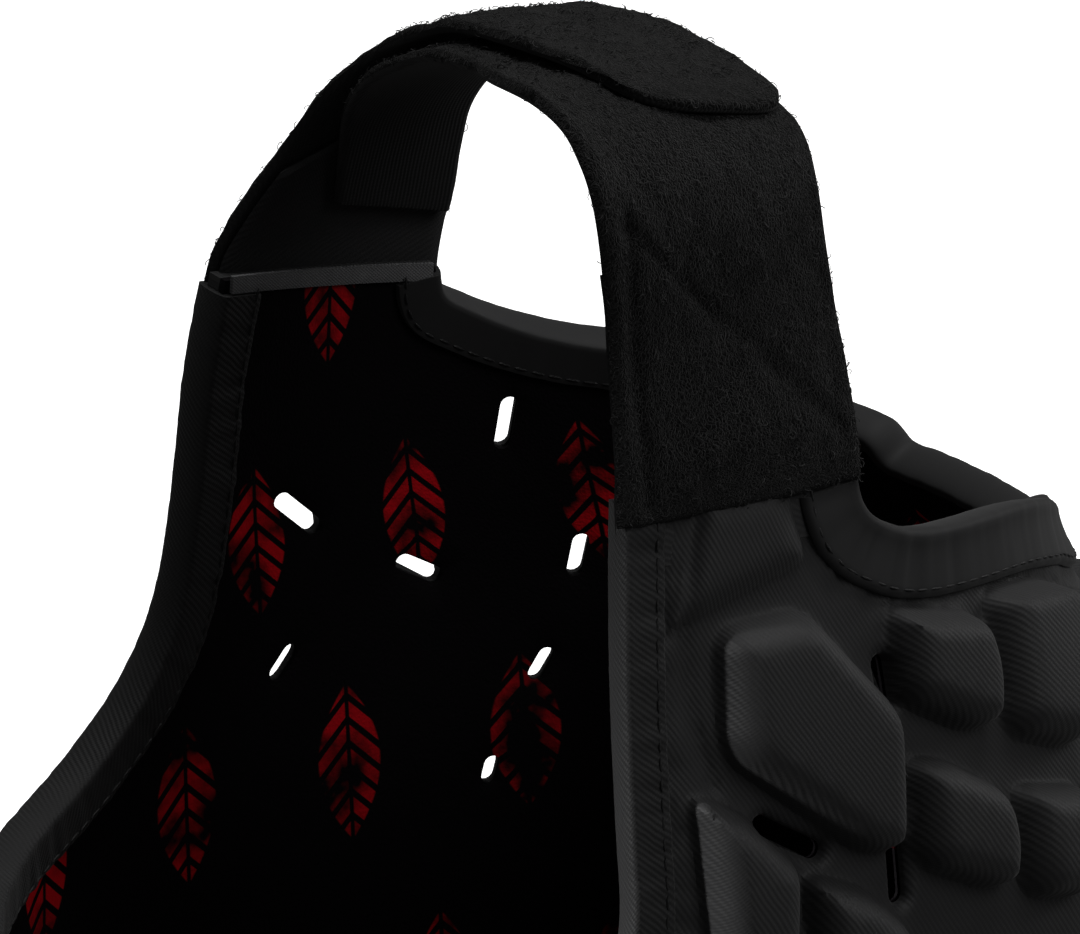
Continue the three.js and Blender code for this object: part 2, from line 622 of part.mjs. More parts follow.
// A flat band along the loop between two faces and two edges given as functions of the place
function ribbon(ends, faces, edges, stations) {
  const across = 4;
  const points = [];
  for (let k = 0; k <= stations; k++) {
    const share = k / stations;
    const front = THREE.MathUtils.lerp(ends.startFront, ends.endFront, share);
    const back = THREE.MathUtils.lerp(ends.startBack, ends.endBack, share);
    const section = [];
    for (const side of [1, 0]) {
      for (let j = 0; j <= across; j++) {
        const t = side ? j / across : 1 - j / across;
        const place = THREE.MathUtils.lerp(front, back, t);
        const y = THREE.MathUtils.lerp(edges.front(place), edges.back(place), t);
        section.push(loopPoint(place, y, faces[side](place)));
      }
    }
    points.push(...section);
  }
  const ringSize = 2 * (across + 1);
  const triangles = [];
  const backwards = ends.startFront > ends.endFront;
  for (let k = 0; k < stations; k++)
    wallBetween(k * ringSize, (k + 1) * ringSize, ringSize, triangles);
  for (const [ring, turned] of [[0, true], [stations * ringSize, false]])
    for (let j = 0; j < across; j++) {
      const [a, b] = [ring + j, ring + j + 1];
      const [c, d] = [ring + ringSize - 1 - j, ring + ringSize - 2 - j];
      if (turned) triangles.push(a, c, b, b, c, d);
      else triangles.push(a, b, c, b, d, c);
    }
  if (backwards) triangles.reverse();
  return solid(geometryFrom(points, triangles));
}

const strapStations = 15;
const tabStations = 10;
const strapY = (key, inset = 0) => (place) =>
  strapMiddle + loopAt(key, place) * strapWidth - Math.sign(loopAt(key, place)) * inset;
const rightStrapInner = (place) => THREE.MathUtils.lerp(
  clearance, -(tabThickness + 2 * clearance + strapThickness), loopAt("laid", place));
const leftStrapInner = (place) => THREE.MathUtils.lerp(
  2 * clearance + strapThickness, clearance, loopAt("laid", place));

function rightStrap() {
  return ribbon(loopEnds.rightStrap,
    [rightStrapInner, (place) => rightStrapInner(place) + strapThickness],
    { front: strapY("rightFront"), back: strapY("rightBack") }, strapStations);
}

function leftStrap() {
  return ribbon(loopEnds.leftStrap,
    [leftStrapInner, (place) => leftStrapInner(place) + strapThickness],
    { front: strapY("leftFront"), back: strapY("leftBack") }, strapStations);
}

// The outer fabric's tab under each strap, which is one piece with the panel's sheet
function cheekTab(ends, front, back) {
  const face = -clearance / 2;
  return ribbon(ends, [() => face - tabThickness, () => face],
    { front: strapY(front, tabMargin), back: strapY(back, tabMargin) }, tabStations);
}

const group = new THREE.Group();
function add(name, body, { color, roughness }) {
  const { vertProperties, triVerts } = body.getMesh();
  const geometry = new THREE.BufferGeometry();
  geometry.setAttribute("position", new THREE.BufferAttribute(new Float32Array(vertProperties), 3));
  geometry.setIndex(new THREE.BufferAttribute(new Uint32Array(triVerts), 1));
  geometry.computeVertexNormals();
  const material = new THREE.MeshStandardMaterial({ color, roughness, metalness: 0 });
  const mesh = new THREE.Mesh(geometry, material);
  mesh.name = name;
  group.add(mesh);
}

// Foam panels with their pads
const sheet = bowlLayer(0, -sheetThickness);
const aboveFloor = sidePrism([[-reach, 0], [reach, 0], [reach, reach], [-reach, reach]]);
const bands = faceBand(clearance).add(earBand(clearance));
function sidePanel(half, pads, vents, tab) {
  const padded = pads.subtract(bands).intersect(belowStrap);
  const panel = sheet.add(padded).intersect(belowSideRim).subtract(outerStrip).intersect(half);
  return panel.add(tab).subtract(vents).intersect(aboveFloor);
}
const vents = {
  right: sideVents(1, rightVents),
  left: sideVents(-1, leftVents),
  centre: centreVents(),
};
const rightTab = cheekTab(loopEnds.rightTab, "rightFront", "rightBack");
const leftTab = cheekTab(loopEnds.leftTab, "leftFront", "leftBack");
add("right_side_panel", sidePanel(rightHalf, sidePads(1, rightPads), vents.right, rightTab),
  materials.shell);
add("left_side_panel", sidePanel(leftHalf, sidePads(-1, leftPads), vents.left, leftTab),
  materials.shell);
add("centre_panel", sheet.add(centrePads().subtract(bands)).intersect(belowCentreRim)
  .intersect(innerStrip).subtract(vents.centre).intersect(aboveFloor), materials.shell);

// One lining inside all three panels, and the outline that it shares with the tapes
const rims = belowSideRim.subtract(innerStrip).add(belowCentreRim.intersect(centreStrip(clearance)));
add("lining", bowlLayer(liningTop, liningBottom).intersect(rims)
  .subtract(joined(Object.values(vents))), materials.lining);

// Tapes round the rims
const bindingSkin = bowlLayer(clearance + bindingThickness, clearance);
add("face_binding", bindingSkin.intersect(faceBand(0)).intersect(belowSideRim)
  .intersect(belowStrap), materials.binding);
add("ear_and_nape_binding", bindingSkin.intersect(earBand(0)).intersect(rims)
  .intersect(belowStrap).subtract(vents.centre), materials.binding);

// Light tape over the lining's end at each cheek
const tapeSkin = bowlLayer(liningBottom - clearance, liningBottom - clearance - liningTapeThickness);
const cheekEnd = [cheekCurves.right.at(-1), earCurve[0]];
const tapeBand = sidePrism(bandAlong(cheekEnd, liningTapeWidth));
for (const [name, half] of [["right_lining_tape", rightHalf], ["left_lining_tape", leftHalf]])
  add(name, tapeSkin.intersect(tapeBand).intersect(belowSideRim).intersect(half), materials.tape);

// The two halves of the chin strap
add("chin_strap_right", rightStrap(), materials.loopPile);
add("chin_strap_left", leftStrap(), materials.loopPile);

export default group;
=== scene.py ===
import math
import bpy
import numpy as np
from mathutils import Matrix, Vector
from mathutils.geometry import delaunay_2d_cdt


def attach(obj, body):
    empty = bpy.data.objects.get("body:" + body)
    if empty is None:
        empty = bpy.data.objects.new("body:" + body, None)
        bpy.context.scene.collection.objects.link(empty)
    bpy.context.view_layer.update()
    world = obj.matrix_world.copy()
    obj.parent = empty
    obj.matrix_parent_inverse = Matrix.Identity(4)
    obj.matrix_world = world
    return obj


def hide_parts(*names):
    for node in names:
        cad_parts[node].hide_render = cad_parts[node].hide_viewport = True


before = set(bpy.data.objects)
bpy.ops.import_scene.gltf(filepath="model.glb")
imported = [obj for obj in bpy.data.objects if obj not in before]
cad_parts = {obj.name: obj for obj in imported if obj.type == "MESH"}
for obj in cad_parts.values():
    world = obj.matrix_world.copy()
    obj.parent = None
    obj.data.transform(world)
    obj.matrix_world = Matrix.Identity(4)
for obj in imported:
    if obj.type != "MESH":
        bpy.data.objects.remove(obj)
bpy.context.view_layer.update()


# Side panels

# Each is a sheet of foam between two fabrics, with thicker pads moulded into it and vents
# punched through. The fabric is a black stretch twill that runs over the pads, and the
# thin tab of the outer fabric goes on up under the chin strap.

head_breadth = 0.161
head_depth = 0.211
head_height = 0.229
cheek_height = 0.201
forehead_height = 0.1075
nape_height = 0.166
squareness = 2.3
sheet_thickness = 0.003
pad_rise = 0.0066
pad_crown = 0.0009
pad_length = 0.042
vent_length = 0.0105
vent_width = 0.0032
seam_gap = 0.0003
crown_level = 0.0066
half_breadth = head_breadth / 2
half_depth = head_depth / 2
cheek_level = crown_level + cheek_height
fold = 0.0011 # the bindings' folds lie round the foam's edge
pad_shoulder = 0.0052 # the run of a pad's wall
outline_step = 0.0011 # between the points of a pad's outline
pad_spacing = 0.0016 # between the points of a pad's wall
vent_reach = 0.012 # farther from its middle a vent changes nothing
lip_run = 0.0016 # how far from a vent the layers are pressed thin
pad_fade = 0.003 # over this run a pad that meets a binding goes down to nothing
past_the_shell = 0.4 # long enough for a ray from inside to leave the shell
edge_points = 110
forehead_level = crown_level + forehead_height - fold
nape_level = crown_level + nape_height - fold

# Height as a share of head_height, half width as a share of half_breadth, front and back
# as shares of half_depth
head_sections = np.array([
    (0.0, 0.03, -0.02, 0.03), (0.003, 0.42, -0.38, 0.42), (0.011, 0.6, -0.55, 0.59),
    (0.035, 0.745, -0.71, 0.75), (0.079, 0.857, -0.834, 0.863), (0.149, 0.938, -0.924, 0.948),
    (0.245, 0.988, -0.981, 0.995), (0.358, 1.0, -1.0, 1.0), (0.476, 0.988, -0.986, 0.957),
    (0.585, 0.959, -0.957, 0.881), (0.76, 0.865, -0.9, 0.692), (0.878, 0.802, -0.872, 0.626),
    (1.0, 0.759, -0.853, 0.588),
])
# The cheeks' front edges and the ear cut-outs' edges of the right side, 1, and the left, -1:
# y as a share of half_depth and height as a share of cheek_height
cheek_edges = {
    1: [(-0.9, 0.54), (-0.74, 0.547), (-0.61, 0.558), (-0.52, 0.574), (-0.445, 0.598),
        (-0.395, 0.628), (-0.372, 0.68), (-0.368, 0.74), (-0.36, 0.82), (-0.348, 0.9),
        (-0.325, 1.012)],
    -1: [(-0.9, 0.545), (-0.74, 0.566), (-0.61, 0.587), (-0.522, 0.614), (-0.45, 0.648),
         (-0.398, 0.692), (-0.376, 0.735), (-0.367, 0.785), (-0.363, 0.85), (-0.36, 0.93),
         (-0.34, 1.012)],
}
ear_edges = {
    1: [(0.081, 0.988), (0.09, 0.96), (0.131, 0.944), (0.2, 0.93), (0.42, 0.913),
        (0.56, 0.887), (0.7, 0.846), (1.0, 0.825)],
    -1: [(0.081, 0.988), (0.09, 0.965), (0.131, 0.952), (0.18, 0.938), (0.25, 0.922),
         (0.33, 0.909), (0.42, 0.9), (0.56, 0.88), (0.7, 0.846), (1.0, 0.825)],
}
# Height as a share of cheek_height, half the centre panel's width in front and behind as
# shares of half_breadth
seam_rows = np.array([(0.0, 0.6, 0.6), (0.17, 0.59, 0.6), (0.5, 0.56, 0.49),
                      (0.82, 0.56, 0.25), (1.1, 0.56, 0.25)])


def in_mm(rows):
    return np.array(rows) / 1000


def through(places, values, at):
    """A smooth curve through a table that never overshoots its rows."""
    places, values = np.asarray(places, float), np.asarray(values, float)
    grade = np.diff(values) / np.diff(places)
    product = grade[:-1] * grade[1:]
    total = np.where(product > 0, grade[:-1] + grade[1:], 1)
    middle = np.where(product > 0, 2 * product / total, 0)
    slope = np.concatenate([grade[:1], middle, grade[-1:]])
    at = np.clip(at, places[0], places[-1])
    i = np.clip(np.searchsorted(places, at) - 1, 0, len(places) - 2)
    run = places[i + 1] - places[i]
    t = (at - places[i]) / run
    start = values[i] * (1 + 2 * t) * (1 - t) ** 2 + slope[i] * run * t * (1 - t) ** 2
    return start + values[i + 1] * t * t * (3 - 2 * t) + slope[i + 1] * run * t * t * (t - 1)


def section(z):
    """Half width, middle and half length of the shell's outer face at a level."""
    height = (z - crown_level) / head_height
    half, front, back = (through(head_sections[:, 0], head_sections[:, k], height)
                         for k in (1, 2, 3))
    return half * half_breadth, (front + back) / 2 * half_depth, (back - front) / 2 * half_depth


def shell_value(points):
    """Below 1 inside the shell's outer face, 1 on it and more outside."""
    half, middle, length = section(points[:, 2])
    value = (np.abs(points[:, 0] / half) ** squareness
             + np.abs((points[:, 1] - middle) / length) ** squareness)
    return np.where(points[:, 2] < crown_level, value + 1, value)


def unit(vectors):
    return vectors / np.linalg.norm(vectors, axis=-1, keepdims=True)


def normals_at(points):
    step = 0.0004
    centre = points.copy()
    centre[:, 2] = np.maximum(centre[:, 2], crown_level + 2 * step)
    slopes = [shell_value(centre + step * axis) - shell_value(centre - step * axis)
              for axis in np.eye(3)]
    return unit(np.stack(slopes, -1))


def cast(starts, directions, length):
    """The outer face's points that are met from inside."""
    near = np.zeros(len(starts))
    far = np.full(len(starts), length)
    for _ in range(26):
        middle = (near + far) / 2
        inside = shell_value(starts + directions * middle[:, None]) < 1
        near, far = np.where(inside, middle, near), np.where(inside, far, middle)
    return starts + directions * near[:, None]


def sheet_x(y, z):
    half, middle, length = section(z)
    along = np.minimum(1, np.abs((y - middle) / length) ** squareness)
    return half * (1 - along) ** (1 / squareness)


def on_side(side, line):
    """A line given in side view, y and z, on the outer face."""
    return np.stack([side * sheet_x(line[:, 0], line[:, 1]), line[:, 0], line[:, 1]], -1)


def shell_y(x, z, behind):
    """Where the outer face lies in front or behind."""
    half, middle, length = section(z)
    reach = length * (1 - np.abs(x / half) ** squareness) ** (1 / squareness)
    return middle + reach * (1 if behind else -1)


def seam_half(z, behind):
    height = (z - crown_level) / cheek_height
    return np.interp(height, seam_rows[:, 0], seam_rows[:, 2 if behind else 1]) * half_breadth


def spline(knots, count):
    """Points along a Catmull-Rom curve through the knots, evenly spaced."""
    knots = np.asarray(knots, float)
    ends = np.concatenate([knots[:1], knots, knots[-1:]])
    t = np.linspace(0, 1, 40, endpoint=False)[:, None]
    pieces = []
    for a, b, c, d in zip(ends, ends[1:], ends[2:], ends[3:]):
        pull_in, pull_out = (c - a) / 2, (d - b) / 2
        pieces.append((2 * b - 2 * c + pull_in + pull_out) * t ** 3
                      + (3 * c - 3 * b - 2 * pull_in - pull_out) * t ** 2 + pull_in * t + b)
    return resampled(np.concatenate([*pieces, knots[-1:]]), count)


def resampled(line, count):
    """The same line with evenly spaced points."""
    lengths = np.concatenate([[0], np.cumsum(np.linalg.norm(np.diff(line, axis=0), axis=1))])
    at = np.linspace(0, lengths[-1], count)
    return np.stack([np.interp(at, lengths, column) for column in line.T], -1)


def edge_line(rows, count):
    shares = np.array(rows)
    knots = np.stack([shares[:, 0] * half_depth, crown_level + shares[:, 1] * cheek_height], -1)
    line = spline(knots, count)
    along = unit(np.gradient(line, axis=0))
    return line + fold * along[:, ::-1] * (1, -1)


cheek_lines = {side: edge_line(rows, edge_points) for side, rows in cheek_edges.items()}
ear_lines = {side: edge_line(rows, edge_points) for side, rows in ear_edges.items()}
cheek_ends = {side: resampled(np.array([cheek_lines[side][-1], ear_lines[side][0]]), 40)
              for side in (1, -1)}

# How far along the profile a level lies, from the crown
profile_levels = crown_level + head_height * np.linspace(0, 1, 1200) ** 2
profile_half = section(profile_levels)[0]
profile_steps = np.hypot(np.diff(profile_half), np.diff(profile_levels))
profile_run = np.concatenate([[0], np.cumsum(profile_steps)]) + profile_half[0]


class SidePatch:
    """The flat map of a side panel: degrees round the head and run from the crown."""

    turn_scale = 0.09

    def __init__(self, side):
        self.side = side

    def flat(self, points):
        middle = section(points[:, 2])[1]
        angle = np.arctan2(points[:, 1] - middle, np.abs(points[:, 0]))
        return np.stack([angle * self.turn_scale,
                         np.interp(points[:, 2], profile_levels, profile_run)], -1)

    def solid(self, flat):
        z = np.interp(flat[:, 1], profile_run, profile_levels)
        angle = flat[:, 0] / self.turn_scale
        half, middle, length = section(z)
        radius = (np.abs(np.cos(angle) / half) ** squareness
                  + np.abs(np.sin(angle) / length) ** squareness) ** (-1 / squareness)
        return np.stack([self.side * radius * np.cos(angle), middle + radius * np.sin(angle), z],
                        -1)

    def outline(self, gap):
        """The panel's edge: seam in front, cheek, ear cut-out and seam behind."""
        front = self.seam(False, gap)
        back = self.seam(True, gap)
        cheek_line = cheek_lines[self.side]
        front = front[front[:, 2] < cheek_line[0, 1]]
        rim = on_side(self.side, np.concatenate([cheek_line, cheek_ends[self.side][1:-1],
                                                 ear_lines[self.side]]))
        inside = (rim[:, 1] < 0) | (np.abs(rim[:, 0]) > seam_half(rim[:, 2], True) + gap)
        rim = rim[inside]
        back = back[back[:, 2] < rim[-1, 2]]
        return np.concatenate([front, rim, back[::-1]])

    def seam(self, behind, gap):
        levels = crown_level + np.linspace(0, 1, 4000) ** 2 * cheek_height
        across = seam_half(levels, behind) + gap
        met = section(levels)[0] > across
        levels, across = levels[met], across[met]
        line = np.stack([self.side * across, shell_y(across, levels, behind), levels], -1)
        return resampled(line, 150)


def superellipse(long, wide, taper, count, power=3.4):
    angle = np.linspace(0, 2 * np.pi, count, endpoint=False)
    u, v = (np.sign(wave) * np.abs(wave) ** (2 / power) for wave in (np.cos(angle), np.sin(angle)))
    return np.stack([u * long / 2, v * wide / 2 * (1 - taper * u)], -1)


def rounded(corners, radius, steps=7):
    """A closed outline through rounded corners, evenly spaced."""
    corners = np.asarray(corners, float)
    points = []
    for before, corner, after in zip(np.roll(corners, 1, 0), corners, np.roll(corners, -1, 0)):
        start = corner + unit(before - corner) * min(radius, np.linalg.norm(before - corner) * 0.45)
        end = corner + unit(after - corner) * min(radius, np.linalg.norm(after - corner) * 0.45)
        for t in np.linspace(0, 1, steps):
            points.append((1 - t) ** 2 * start + 2 * t * (1 - t) * corner + t * t * end)
    points.append(points[0])
    length = np.linalg.norm(np.diff(points, axis=0), axis=1).sum()
    return resampled(np.array(points), int(length / outline_step))[:-1]


def facing_in(outline):
    """Unit vectors in the plane that point into a closed outline."""
    along = np.roll(outline, -1, 0) - np.roll(outline, 1, 0)
    inward = unit(np.stack([-along[:, 1], along[:, 0]], -1))
    x, y = outline.T
    area = np.sum(x * np.roll(y, -1) - y * np.roll(x, -1))
    return inward * np.sign(area)


def depth_in(outline, points):
    """How deep each point lies inside a closed outline, negative outside it."""
    start, end = outline, np.roll(outline, -1, 0)
    run = end - start
    length = np.maximum((run ** 2).sum(-1), 1e-18)
    away = points[:, None, :] - start[None]
    share = np.clip((away * run).sum(-1) / length, 0, 1)
    distance = np.linalg.norm(away - share[..., None] * run, axis=-1).min(1)
    crosses = (start[:, 1] > points[:, None, 1]) != (end[:, 1] > points[:, None, 1])
    rise = np.where(run[:, 1] == 0, 1, run[:, 1])
    at = start[:, 0] + (points[:, None, 1] - start[:, 1]) * run[:, 0] / rise
    inside = (crosses & (points[:, None, 0] < at)).sum(1) % 2 == 1
    return np.where(inside, distance, -distance)


def deeper(outline, points, depth):
    """Which points lie deeper inside a closed outline than a depth."""
    deep = [depth_in(outline, points[start:start + 4000])
            for start in range(0, len(points), 4000)]
    return np.concatenate(deep) > depth


def spun(outline, degrees):
    spin = math.radians(degrees)
    across = [math.cos(spin), math.sin(spin)]
    return outline @ np.array([across, [-across[1], across[0]]])


class Spot:
    """A place on the outer face with the directions along it, for a pad or a vent."""

    def __init__(self, point, upwards, mirrored=False):
        self.point = np.asarray(point, float)
        self.normal = normals_at(self.point[None])[0]
        self.along = unit(np.cross(upwards, self.normal))
        self.up = np.cross(self.normal, self.along)
        if mirrored:
            self.along = -self.along

    def local(self, points):
        away = points - self.point
        return np.stack([away @ self.along, away @ self.up], -1)

    def on_face(self, outline):
        starts = (self.point + outline[:, :1] * self.along + outline[:, 1:] * self.up
                  - self.normal * pad_length)
        return cast(starts, np.broadcast_to(self.normal, starts.shape), 2 * pad_length)


def side_spot(side, y, z):
    return Spot((side * float(sheet_x(np.array(y), np.array(z))), y, z), (0, 0, 1), side < 0)


def row_spot(side, degrees, z):
    half, middle, length = (float(value) for value in section(np.array(z)))
    angle = math.radians(degrees)
    direction = unit(np.array([side * half * math.cos(angle), length * math.sin(angle), 0]))
    point = cast(np.array([[0, middle, z]]), direction[None], past_the_shell)[0]
    return Spot(point, (0, 0, 1), side < 0)


def centre_spot(across, degrees):
    angle = math.radians(degrees)
    hub = np.array([[across * half_breadth, 0, crown_level + half_depth]])
    direction = np.array([[0, math.sin(angle), -math.cos(angle)]])
    point = cast(hub, direction, past_the_shell)[0]
    return Spot(point, (0, math.cos(angle), math.sin(angle)))


class Pad:
    """A raised pad: its spot, its outline there and its rise."""

    def __init__(self, spot, outline, rise):
        self.spot, self.outline, self.rise = spot, outline, rise
        self.reach = np.linalg.norm(outline, axis=1).max()

    def height(self, points):
        depth = depth_in(self.outline, self.spot.local(points))
        t = np.clip(depth / pad_shoulder, 0, 1)
        shoulder = (1 - (1 - t) ** 2.3) ** 0.8
        away = np.linalg.norm(self.spot.local(points), axis=1) / self.reach
        dome = pad_crown * (1 - np.minimum(away, 1) ** 2)
        return np.where(depth > 0, (pad_rise + dome) * shoulder * self.rise, depth * 1.6)

    def samples(self, spacing):
        """Points on the face in rings along the outline, close together on the pad's wall."""
        inward = facing_in(self.outline)
        rings = []
        for depth in in_mm([-2.4, -1.5, -0.8, -0.3, 0.15, 0.6, 1.1, 1.8, 2.7, 3.8, 5.2, 7.2]):
            ring = self.outline + inward * depth
            deep = depth_in(self.outline, ring)
            ring = ring[np.abs(deep - depth) < 0.0002]
            rings.append(ring[::max(1, round(spacing / outline_step))])
        return self.spot.on_face(np.concatenate(rings))


def pad_from_row(spot, row):
    long, wide, turn, taper, rise = row
    count = int((long + wide) * pad_length * 1.75 / outline_step)
    shape = superellipse(long * pad_length, wide * pad_length, taper, count)
    return Pad(spot, spun(shape, turn), rise)


def pad_from_corners(side, corners, radius, rise):
    """A pad whose rounded corners are given in side view, y and z."""
    spot = side_spot(side, *corners.mean(0))
    return Pad(spot, spot.local(on_side(side, rounded(corners, radius))), rise)


def vent_outline(long):
    radius = vent_width / 2
    angle = np.linspace(-np.pi / 2, np.pi / 2, 9)
    end = np.stack([long * vent_length / 2 - radius + radius * np.cos(angle),
                    radius * np.sin(angle)], -1)
    return np.concatenate([end, -end])


class Vent:
    """A round-ended slot right through the panel."""

    def __init__(self, spot, long, turn):
        self.spot = spot
        self.outline = spun(vent_outline(long), turn)

    def edge(self, grow=0.0):
        return self.spot.on_face(self.outline - facing_in(self.outline) * grow)


def sparse(points, spacing):
    """The points that are no closer to each other than spacing, earlier ones first."""
    taken = {}
    kept = []
    for index, point in enumerate(points):
        cell = (int(point[0] // spacing), int(point[1] // spacing))
        near = [q for i in (-1, 0, 1) for j in (-1, 0, 1)
                for q in taken.get((cell[0] + i, cell[1] + j), ())]
        if all((point[0] - q[0]) ** 2 + (point[1] - q[1]) ** 2 > spacing ** 2 for q in near):
            taken.setdefault(cell, []).append(point)
            kept.append(index)
    return kept


def triangulated(loops, fillers):
    """Triangles between an outer loop, holes and inner points of a flat map."""
    corners = np.concatenate([*loops, fillers])
    edges = []
    start = 0
    for loop in loops:
        edges += [(start + k, start + (k + 1) % len(loop)) for k in range(len(loop))]
        start += len(loop)
    places, _, made, came_from, *_ = delaunay_2d_cdt([Vector(p) for p in corners * 1000],
                                                     edges, [], 1, 1e-6)
    flat = in_mm([tuple(place) for place in places])
    faces = np.array([face for face in made if len(face) == 3])
    middles = flat[faces].mean(1)
    inside = np.ones(len(faces), bool)
    for hole in loops[1:]:
        near = np.linalg.norm(middles - hole.mean(0), axis=1) < vent_reach
        inside[near] &= depth_in(hole, middles[near]) < 0
    faces = faces[inside]
    origin = {}
    for index, sources in enumerate(came_from):
        for source in sources:
            origin[source] = index
    ring_indices = []
    start = 0
    for loop in loops:
        ring_indices.append([origin[start + k] for k in range(len(loop))])
        start += len(loop)
    return flat, faces, ring_indices


def filler_points(outline, spacing):
    low, high = outline.min(0), outline.max(0)
    columns = np.arange(low[0], high[0], spacing)
    rows = np.arange(low[1], high[1], spacing * 0.87)
    grid = np.array([(u + (k % 2) * spacing / 2, v) for k, v in enumerate(rows) for u in columns])
    return grid[deeper(outline, grid, spacing * 0.6)]


def near_vents(base, vents):
    """1 at the edge of a vent, where all the layers are pressed thin, and 0 away from it."""
    lip = np.full(len(base), 1.0)
    for vent in vents:
        near = np.linalg.norm(base - vent.spot.point, axis=1) < vent_reach
        away = -depth_in(vent.outline, vent.spot.local(base[near]))
        lip[near] = np.minimum(lip[near], np.maximum(away, 0))
    return np.clip(1 - lip / lip_run, 0, 1) ** 2


def loop_walls(loops, below_loops, count, faces):
    """The walls between the loops of the top and those of the underside, each turned so
    that it agrees with the top's faces that it meets."""
    walls = []
    for upper, lower in zip(loops, below_loops):
        for k in range(len(upper)):
            n = (k + 1) % len(upper)
            walls.append((upper[k], upper[n], count + lower[n]))
            walls.append((upper[k], count + lower[n], count + lower[k]))
    directed = {(a, b) for face in faces.tolist() for a, b in zip(face, face[1:] + face[:1])}
    flip = np.array([(wall[0], wall[1]) in directed for wall in walls])
    flip |= np.concatenate([[False], flip[:-1]]) & (np.arange(len(walls)) % 2 == 1)
    walls = np.array(walls)
    return np.where(flip[:, None], walls[:, ::-1], walls)


def patch_mesh(patch, outline, vents, pads, outer, inner, spacing, fine=None, relief=None):
    """A closed sheet between two offsets from the outer face, with pads and vents.
    Gives its points, triangles and cloth coordinates in millimetres."""
    edge = patch.flat(outline)
    holes = [patch.flat(vent.edge()) for vent in vents]
    rings = [patch.flat(vent.edge(grow)) for vent in vents for grow in (0.0005, 0.0012)]
    samples = [patch.flat(pad.samples(outline_step if fine and fine(pad) else spacing))
               for pad in pads]
    wanted = np.concatenate([*rings, *samples, filler_points(edge, 0.0024 if pads else 0.004)])
    wanted = wanted[np.isfinite(wanted).all(1)]
    keep = deeper(edge, wanted, 0.0004)
    for hole in holes:
        near = np.linalg.norm(wanted - hole.mean(0), axis=1) < vent_reach
        keep[near] &= depth_in(hole, wanted[near]) < -0.0003
    wanted = wanted[keep]
    wanted = wanted[sparse(wanted, 0.00042 if pads else 0.002)]
    flat, faces, loops = triangulated([edge, *holes], wanted)
    base = patch.solid(flat)
    normals = normals_at(base)
    height = np.full(len(base), -1.0)
    for pad in pads:
        near = np.linalg.norm(base - pad.spot.point, axis=1) < pad.reach + 0.004
        height[near] = np.maximum(height[near], pad.height(base[near]))
    foot = 0.0011
    height = (height + np.sqrt(height ** 2 + foot ** 2)) / 2 * (height > -0.5)
    sink = (0.0012 if outer == 0 else -0.0004) * near_vents(base, vents)
    if relief is not None:
        height = relief(base, height)
    top = base + normals * (outer + height - sink)[:, None]
    top[:, 2] = np.maximum(top[:, 2], 0)
    coarse = filler_points(edge, 0.006)
    clear = [all(depth_in(hole, point[None])[0] < -0.0008 for hole in holes) for point in coarse]
    below_flat, below_faces, below_loops = triangulated([edge, *holes], coarse[clear])
    below_base = patch.solid(below_flat)
    press = 0.0008 * near_vents(below_base, vents)
    below = below_base + normals_at(below_base) * (inner + press)[:, None]
    points = np.concatenate([top, below])
    count = len(top)
    turned = np.cross(top[faces[:, 1]] - top[faces[:, 0]], top[faces[:, 2]] - top[faces[:, 0]])
    outward = (turned * normals[faces[:, 0]]).sum() > 0
    faces = faces if outward else faces[:, ::-1]
    below_faces = (below_faces[:, ::-1] if outward else below_faces) + count
    walls = loop_walls(loops, below_loops, count, faces)
    cloth = np.concatenate([np.column_stack([flat, height]),
                            np.column_stack([below_flat, np.zeros(len(below_flat))])]) * 1000
    return points, np.concatenate([faces, below_faces, walls]), cloth


def placed(name, data):
    """A new object in the scene."""
    made = bpy.data.objects.new(name, data)
    bpy.context.scene.collection.objects.link(made)
    return made


def made_mesh(name, parts, sharp=40):
    """One object out of several (points, faces, cloth coordinates, material slots)."""
    points = np.concatenate([part[0] for part in parts])
    starts = np.cumsum([0] + [len(part[0]) for part in parts])
    faces = [[int(start + corner) for corner in face]
             for start, part in zip(starts, parts) for face in part[1]]
    mesh = bpy.data.meshes.new(name)
    mesh.from_pydata(points.tolist(), [], faces)
    slots = [np.broadcast_to(part[3] if len(part) > 3 else 0, len(part[1])) for part in parts]
    mesh.polygons.foreach_set("material_index", np.concatenate(slots).astype(np.int32))
    cloth = mesh.attributes.new("cloth", "FLOAT_VECTOR", "POINT")
    cloth.data.foreach_set("vector", np.concatenate([part[2] for part in parts]).ravel())
    mesh.validate()
    mesh.shade_smooth()
    mesh.set_sharp_from_angle(angle=math.radians(sharp))
    return placed(name, mesh)


